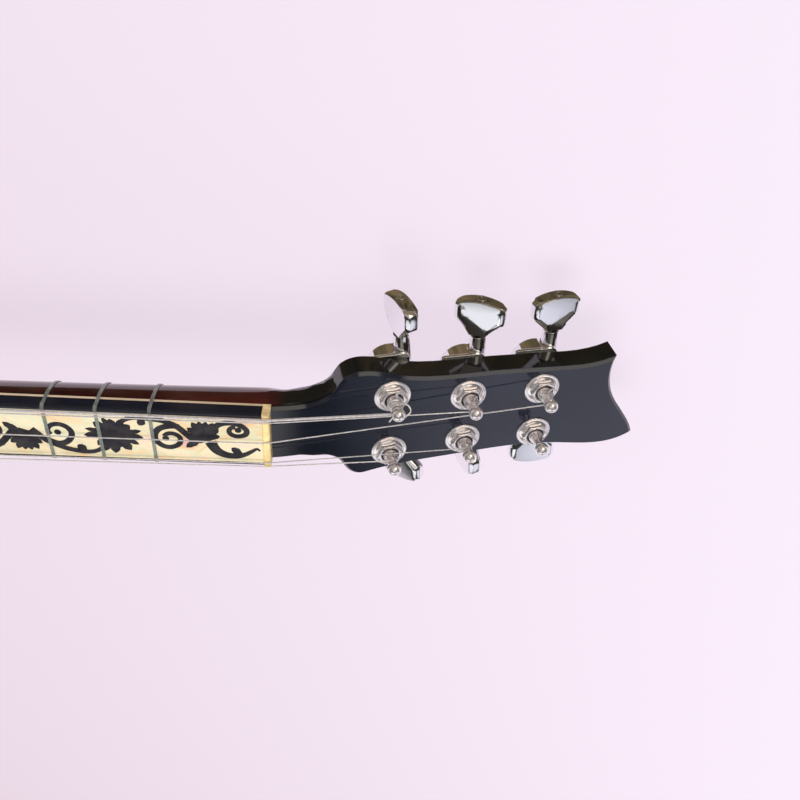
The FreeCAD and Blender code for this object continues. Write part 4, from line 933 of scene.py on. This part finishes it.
def line_of(joint):
    """The place and direction of a joint's axis, and its number."""
    return Vector(joint["pos_m"]), Vector(joint["axis"]).normalized(), joint["name"].split("_")[1]


def turn_posts():
    """The turned string posts, each on its own body, with the ball on a slim waist."""
    start = math.asin(POST_PROFILE[-1][0] / BALL_RADIUS)
    ball = []
    for k in range(1, BALL_STEPS + 1):
        angle = start + (math.pi - BALL_CROWN - start) * k / BALL_STEPS
        ball.append((BALL_RADIUS * math.sin(angle), BALL_HEIGHT - BALL_RADIUS * math.cos(angle)))
    for post in POSTS:
        foot, axis, number = line_of(post)
        solid = Solids()
        solid.turned(foot, axis, list(POST_PROFILE) + ball)
        piece = add_piece("turned_post_" + number, solid, "satin", post["child"])
        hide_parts("string_post_" + number)


def shape_buttons():
    """The cast keystone buttons with crowned faces, eased rims and the screw in the end, each on its own body."""
    for tuner in TUNERS:
        foot, axis, number = line_of(tuner)
        points = [Vector(v.co) - foot for v in frame["nodes"]["tuner_button_" + number].data.vertices]
        heights = [p.dot(axis) for p in points]
        if abs(min(heights)) > abs(max(heights)):
            axis, heights = -axis, [-h for h in heights]
        base, length = min(heights), max(heights) - min(heights)
        flats = [p - axis * p.dot(axis) for p in points]
        half_width = max(f.length for f in flats)
        far = [f for f in flats if f.length > half_width * BUTTON_CORNER]
        across = sum((f if f.dot(far[0]) > 0 else -f for f in far), Vector()).normalized()
        normal = axis.cross(across)
        half_width = max(f.dot(across) for f in flats)
        side = [(base + u * length, w * half_width) for u, w in BUTTON_OUTLINE]
        outline = side + [(base + length, 0.0)] + [(h, -w) for h, w in reversed(side)]
        count = len(outline)
        centre = base + length * BUTTON_MIDDLE
        rows = []
        rims = [(i, -z, s) for i, z, s in reversed(BUTTON_RIM)] + list(BUTTON_RIM)
        for inset, z, share in rims:
            row = []
            for k, (h, w) in enumerate(outline):
                (bh, bw), (ah, aw) = outline[k - 1], outline[(k + 1) % count]
                run = math.hypot(ah - bh, aw - bw)
                along = (h - base) / length
                at_foot, per_length = BUTTON_FOOT_EASE
                eased = inset * (BUTTON_END_EASE if along > BUTTON_END else min(1.0, at_foot + per_length * along))
                h, w = h - eased * (bw - aw) / run, w - eased * (ah - bh) / run
                h, w = centre + (h - centre) * share, w * share
                row.append(foot + axis * h + across * w + normal * z)
            rows.append(row)
        solid = Solids()
        solid.rows(rows)
        solid.turned(foot + axis * (base + length), axis, SCREW_PROFILE, SCREW_SIDES)
        piece = add_piece("keystone_button_" + number, solid, "chrome", tuner["child"])
        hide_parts("tuner_button_" + number)


def curl_spare_wire():
    """The curl of spare wire and the cut tail at the first post."""
    up = CAMERA_RIGHT.cross(CAMERA_FORWARD).normalized()
    foot, axis, number = line_of(POSTS[0])
    ball = foot + axis * BALL_HEIGHT
    wires = Solids()
    for points in (CURL, CURL_TAIL):
        wires.tube(smooth([ball + (Vector((a, 0, 0)) + up * b) * mm for a, b in points]), SPARE_RADIUS)
    add_piece("spare_wire", wires, "wire", "post_" + number)


def dress_bushings():
    """Dished washers, hexagon heads with an eased rim, and dark rings in the bore mouths round the posts, painted shade
    in the gap.
    """
    washers, heads, rings = Solids(), Solids(), Solids()
    for post in POSTS:
        foot, axis, _ = line_of(post)
        washers.turned(foot, axis, WASHER_PROFILE, WASHER_SIDES, closed=True)
        rings.turned(foot, axis, BORE_SHADE_PROFILE, closed=True)
        corners = nearest_part("tuner_bushings", foot)
        corner = max(corners, key=lambda p: ((p - foot) - axis * (p - foot).dot(axis)).length) - foot
        across = (corner - axis * corner.dot(axis)).normalized()
        other = axis.cross(across)
        rows = []
        for reach, height, six in HEAD_PROFILE:
            row = []
            for angle in round_angles(TURNED_SIDES):
                fold = (angle % (math.pi / 3)) - math.pi / 6
                size = reach * math.cos(math.pi / 6) / math.cos(fold) if six else reach
                row.append(foot + axis * height + (across * math.cos(angle) + other * math.sin(angle)) * size)
            rows.append(row)
        heads.rows(rows, closed=True)
    piece = add_piece("flange_washers", washers, "satin", "instrument")
    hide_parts("tuner_washers")
    piece = add_piece("hexagon_bushings", heads, "satin", "instrument")
    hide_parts("tuner_bushings")
    # Dark rings fill the bore mouths: painted shade in the gap round each post.
    add_piece("bore_shade_rings", rings, "gloss_plastic", "instrument")


def skin_of(nodes, *pieces):
    """The surface of some CAD nodes and new pieces together, to be met by rays."""
    work = bmesh.new()
    for thing in [frame["nodes"][node] for node in nodes] + list(pieces):
        work.from_mesh(thing.data)
    skin = BVHTree.FromBMesh(work)
    work.free()
    return skin


def wrap_neck():
    """The neck's lacquered back: a fuller D that runs into the headstock's side without a step."""
    skin = skin_of(["neck"])
    half_width, depth, power = NECK_FULLNESS
    angles = [math.pi * k / NECK_STEPS for k in range(NECK_STEPS + 1)]
    sections = []
    for j in range(NECK_SECTIONS + 1):
        x = NUT_X - NECK_REACH + (NECK_REACH + NECK_RUN_OUT) * j / NECK_SECTIONS
        over = skin.ray_cast(Vector((x, 0.0, ABOVE)), Vector((0, 0, -1)))[0]
        level = min(over.z, BOARD_LOW.z - NECK_UNDER_BOARD) - NECK_CLEAR
        if x < NUT_X:
            share = ((x - NUT_X + NECK_REACH) / NECK_REACH) ** NECK_EASE
        else:
            share = max(0.0, 1 - (x - NUT_X) / NECK_RUN_OUT)
        radii = []
        for angle in angles:
            out = Vector((0, math.cos(angle), -math.sin(angle)))
            start = Vector((x, 0, level))
            cad = (skin.ray_cast(start + out * OUTSIDE, -out)[0] - start).length
            c, s = abs(out.y) / half_width, abs(out.z) / depth
            full = (c ** power + s ** power) ** (-1 / power)
            radii.append(max(cad + (full - cad) * share, cad + NECK_SKIN))
        sections.append((x, level, radii))
    rows = []
    for j, (x, level, radii) in enumerate(sections):
        near = [s[2] for s in sections[max(0, j - NECK_BLEND):j + NECK_BLEND + 1]]
        eased = [max(sum(others) / len(near), own) for own, *others in zip(radii, *near)]
        if j in (0, NECK_SECTIONS):
            eased = [r - NECK_SUNK_END for r in radii]
        rows.append([Vector((x, r * math.cos(a), level - r * math.sin(a))) for a, r in zip(angles, eased)])
    solid = Solids()
    solid.rows(rows)
    return add_piece("neck_back", solid, "neck", "instrument")


def close_panel():
    """The pearl's last strip, which reaches the nut."""
    solid = Solids()
    half, start = PANEL_ENDS[1], PEARL_HIGH.x - PANEL_OVERLAP
    outline = [Vector((x, y, 0)) for x, y in ((start, half), (NUT_X, half), (NUT_X, -half), (start, -half))]
    solid.slab(outline, BOARD_TOP - PANEL_DEPTH, BOARD_TOP + PANEL_RISE)
    add_piece("panel_end", solid, "pearl", "instrument", False)


def string_ends(points):
    """A CAD string's places at the tail, over the bridge and over the nut, its radius, its end and its post."""
    tail_x = min(p.x for p in points)
    tail = middle([p for p in points if p.x < tail_x + TAIL_SLICE])
    bridge = middle([p for p in points if abs(p.x) < BRIDGE_SLICE])
    crown = NUT_X + (NUT_HIGH.x - NUT_LOW.x) * NUT_CROWN
    at_nut = [p for p in points if abs(p.x - crown) < NUT_SLICE]
    radius = (max(p.y for p in at_nut) - min(p.y for p in at_nut)) / 2
    head_points = [p for p in points if p.x > crown + HEAD_START]
    post = min(POSTS, key=lambda j: (middle(head_points) - Vector(j["pos_m"])).length)
    return tail, bridge, middle(at_nut), radius, head_points, post


def wind_strings():
    """Puts a real wire in place of each CAD string: straight runs on the instrument, turns on the post."""
    for node in ("strings_upper", "string_middle", "strings_lower"):
        wires = Solids()
        for points in loose_parts(node):
            tail, bridge, nut, radius, head_points, post = string_ends(points)
            foot, axis, number = line_of(post)
            heights = [(p - foot).dot(axis) for p in head_points]
            reaches = [((p - foot) - axis * h).length for p, h in zip(head_points, heights)]
            top = max(h for h, reach in zip(heights, reaches) if reach < NEAR_POST) - radius
            along = Vector((0, 1, 0)).cross(axis).normalized()
            side = Vector((0, -1 if foot.y > 0 else 1, 0))
            centre = foot + axis * top
            touch = centre + side * (post_radius(top) + radius)
            wires.tube([tail, bridge, nut, touch], radius, WIRE_SIDES)
            path = []
            for k in range(WINDING_TURNS * WINDING_STEPS + WINDING_STEPS // 2):
                angle = 2 * math.pi * k / WINDING_STEPS
                sunk = WINDING_PITCH * radius * k / WINDING_STEPS
                reach = post_radius(top - sunk) + radius
                turn = side * reach * math.cos(angle) + along * reach * math.sin(angle)
                path.append(centre - axis * sunk + turn)
            way_in = path[-1] - path[-2]
            out = (path[-1] - centre - axis * (path[-1] - centre).dot(axis)).normalized()
            for onward, outward, upward in CUT_TAIL:
                path.append(path[-1] + way_in * onward + out * outward * mm + axis * upward * mm)
            coil = Solids()
            coil.tube(path, radius, WINDING_SIDES)
            add_piece("string_turns_" + number, coil, "wire", post["child"])
        piece = add_piece(node + "_wire", wires, "wire", "instrument")
        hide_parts(node)


def tie_frets(sleeve):
    """Puts three turns of nylon and a knot, on the treble side, in place of each CAD tie."""
    skin = skin_of(["neck", "fingerboard", "fingerboard_inlay", "neck_binding"], sleeve)
    ties = Solids()
    for points in loose_parts("fret_ties"):
        place = (max(p.x for p in points) + min(p.x for p in points)) / 2
        for strand in range(TIE_STRANDS):
            x = place + (strand - (TIE_STRANDS - 1) / 2) * STRAND_PITCH
            ring = []
            for k in range(TIE_STEPS):
                angle = 2 * math.pi * (k + 0.5) / TIE_STEPS
                out = Vector((0, math.cos(angle), math.sin(angle)))
                hit = skin.ray_cast(Vector((x, 0, TIE_CORE)) + out * OUTSIDE, -out)[0]
                ring.append(hit + out * STRAND_RADIUS * STRAND_LIFT)
            ties.tube(ring, STRAND_RADIUS, STRAND_SIDES, closed=True)
        side = skin.ray_cast(Vector((place, -OUTSIDE, KNOT_LEVEL)), Vector((0, 1, 0)))[0].y
        knot = Vector((place, side - KNOT_OUT, KNOT_LEVEL))
        wide, deep, tall = KNOT_LOOP
        loop = []
        for angle in round_angles(KNOT_STEPS):
            bend = Vector((wide * math.cos(angle), deep * math.sin(2 * angle), tall * math.sin(angle)))
            loop.append(knot + bend * mm)
        ties.tube(loop, STRAND_RADIUS, STRAND_SIDES, closed=True)
        for way in (-1, 1):
            tail = [knot + Vector((way * x, y, z)) * mm for x, y, z in KNOT_TAIL]
            ties.tube(tail, KNOT_TAIL_RADIUS, STRAND_SIDES)
    piece = add_piece("tied_nylon", ties, "nylon", "instrument")
    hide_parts("fret_ties")


bpy.context.scene.view_settings.view_transform = "Standard"
place_camera()
FINISHES = dress_nodes()
set_surroundings()
lay_floor()
hang_flags()
light_the_scene()
lay_scrolls()
close_panel()
turn_posts()
shape_buttons()
curl_spare_wire()
dress_bushings()
wind_strings()
tie_frets(wrap_neck())
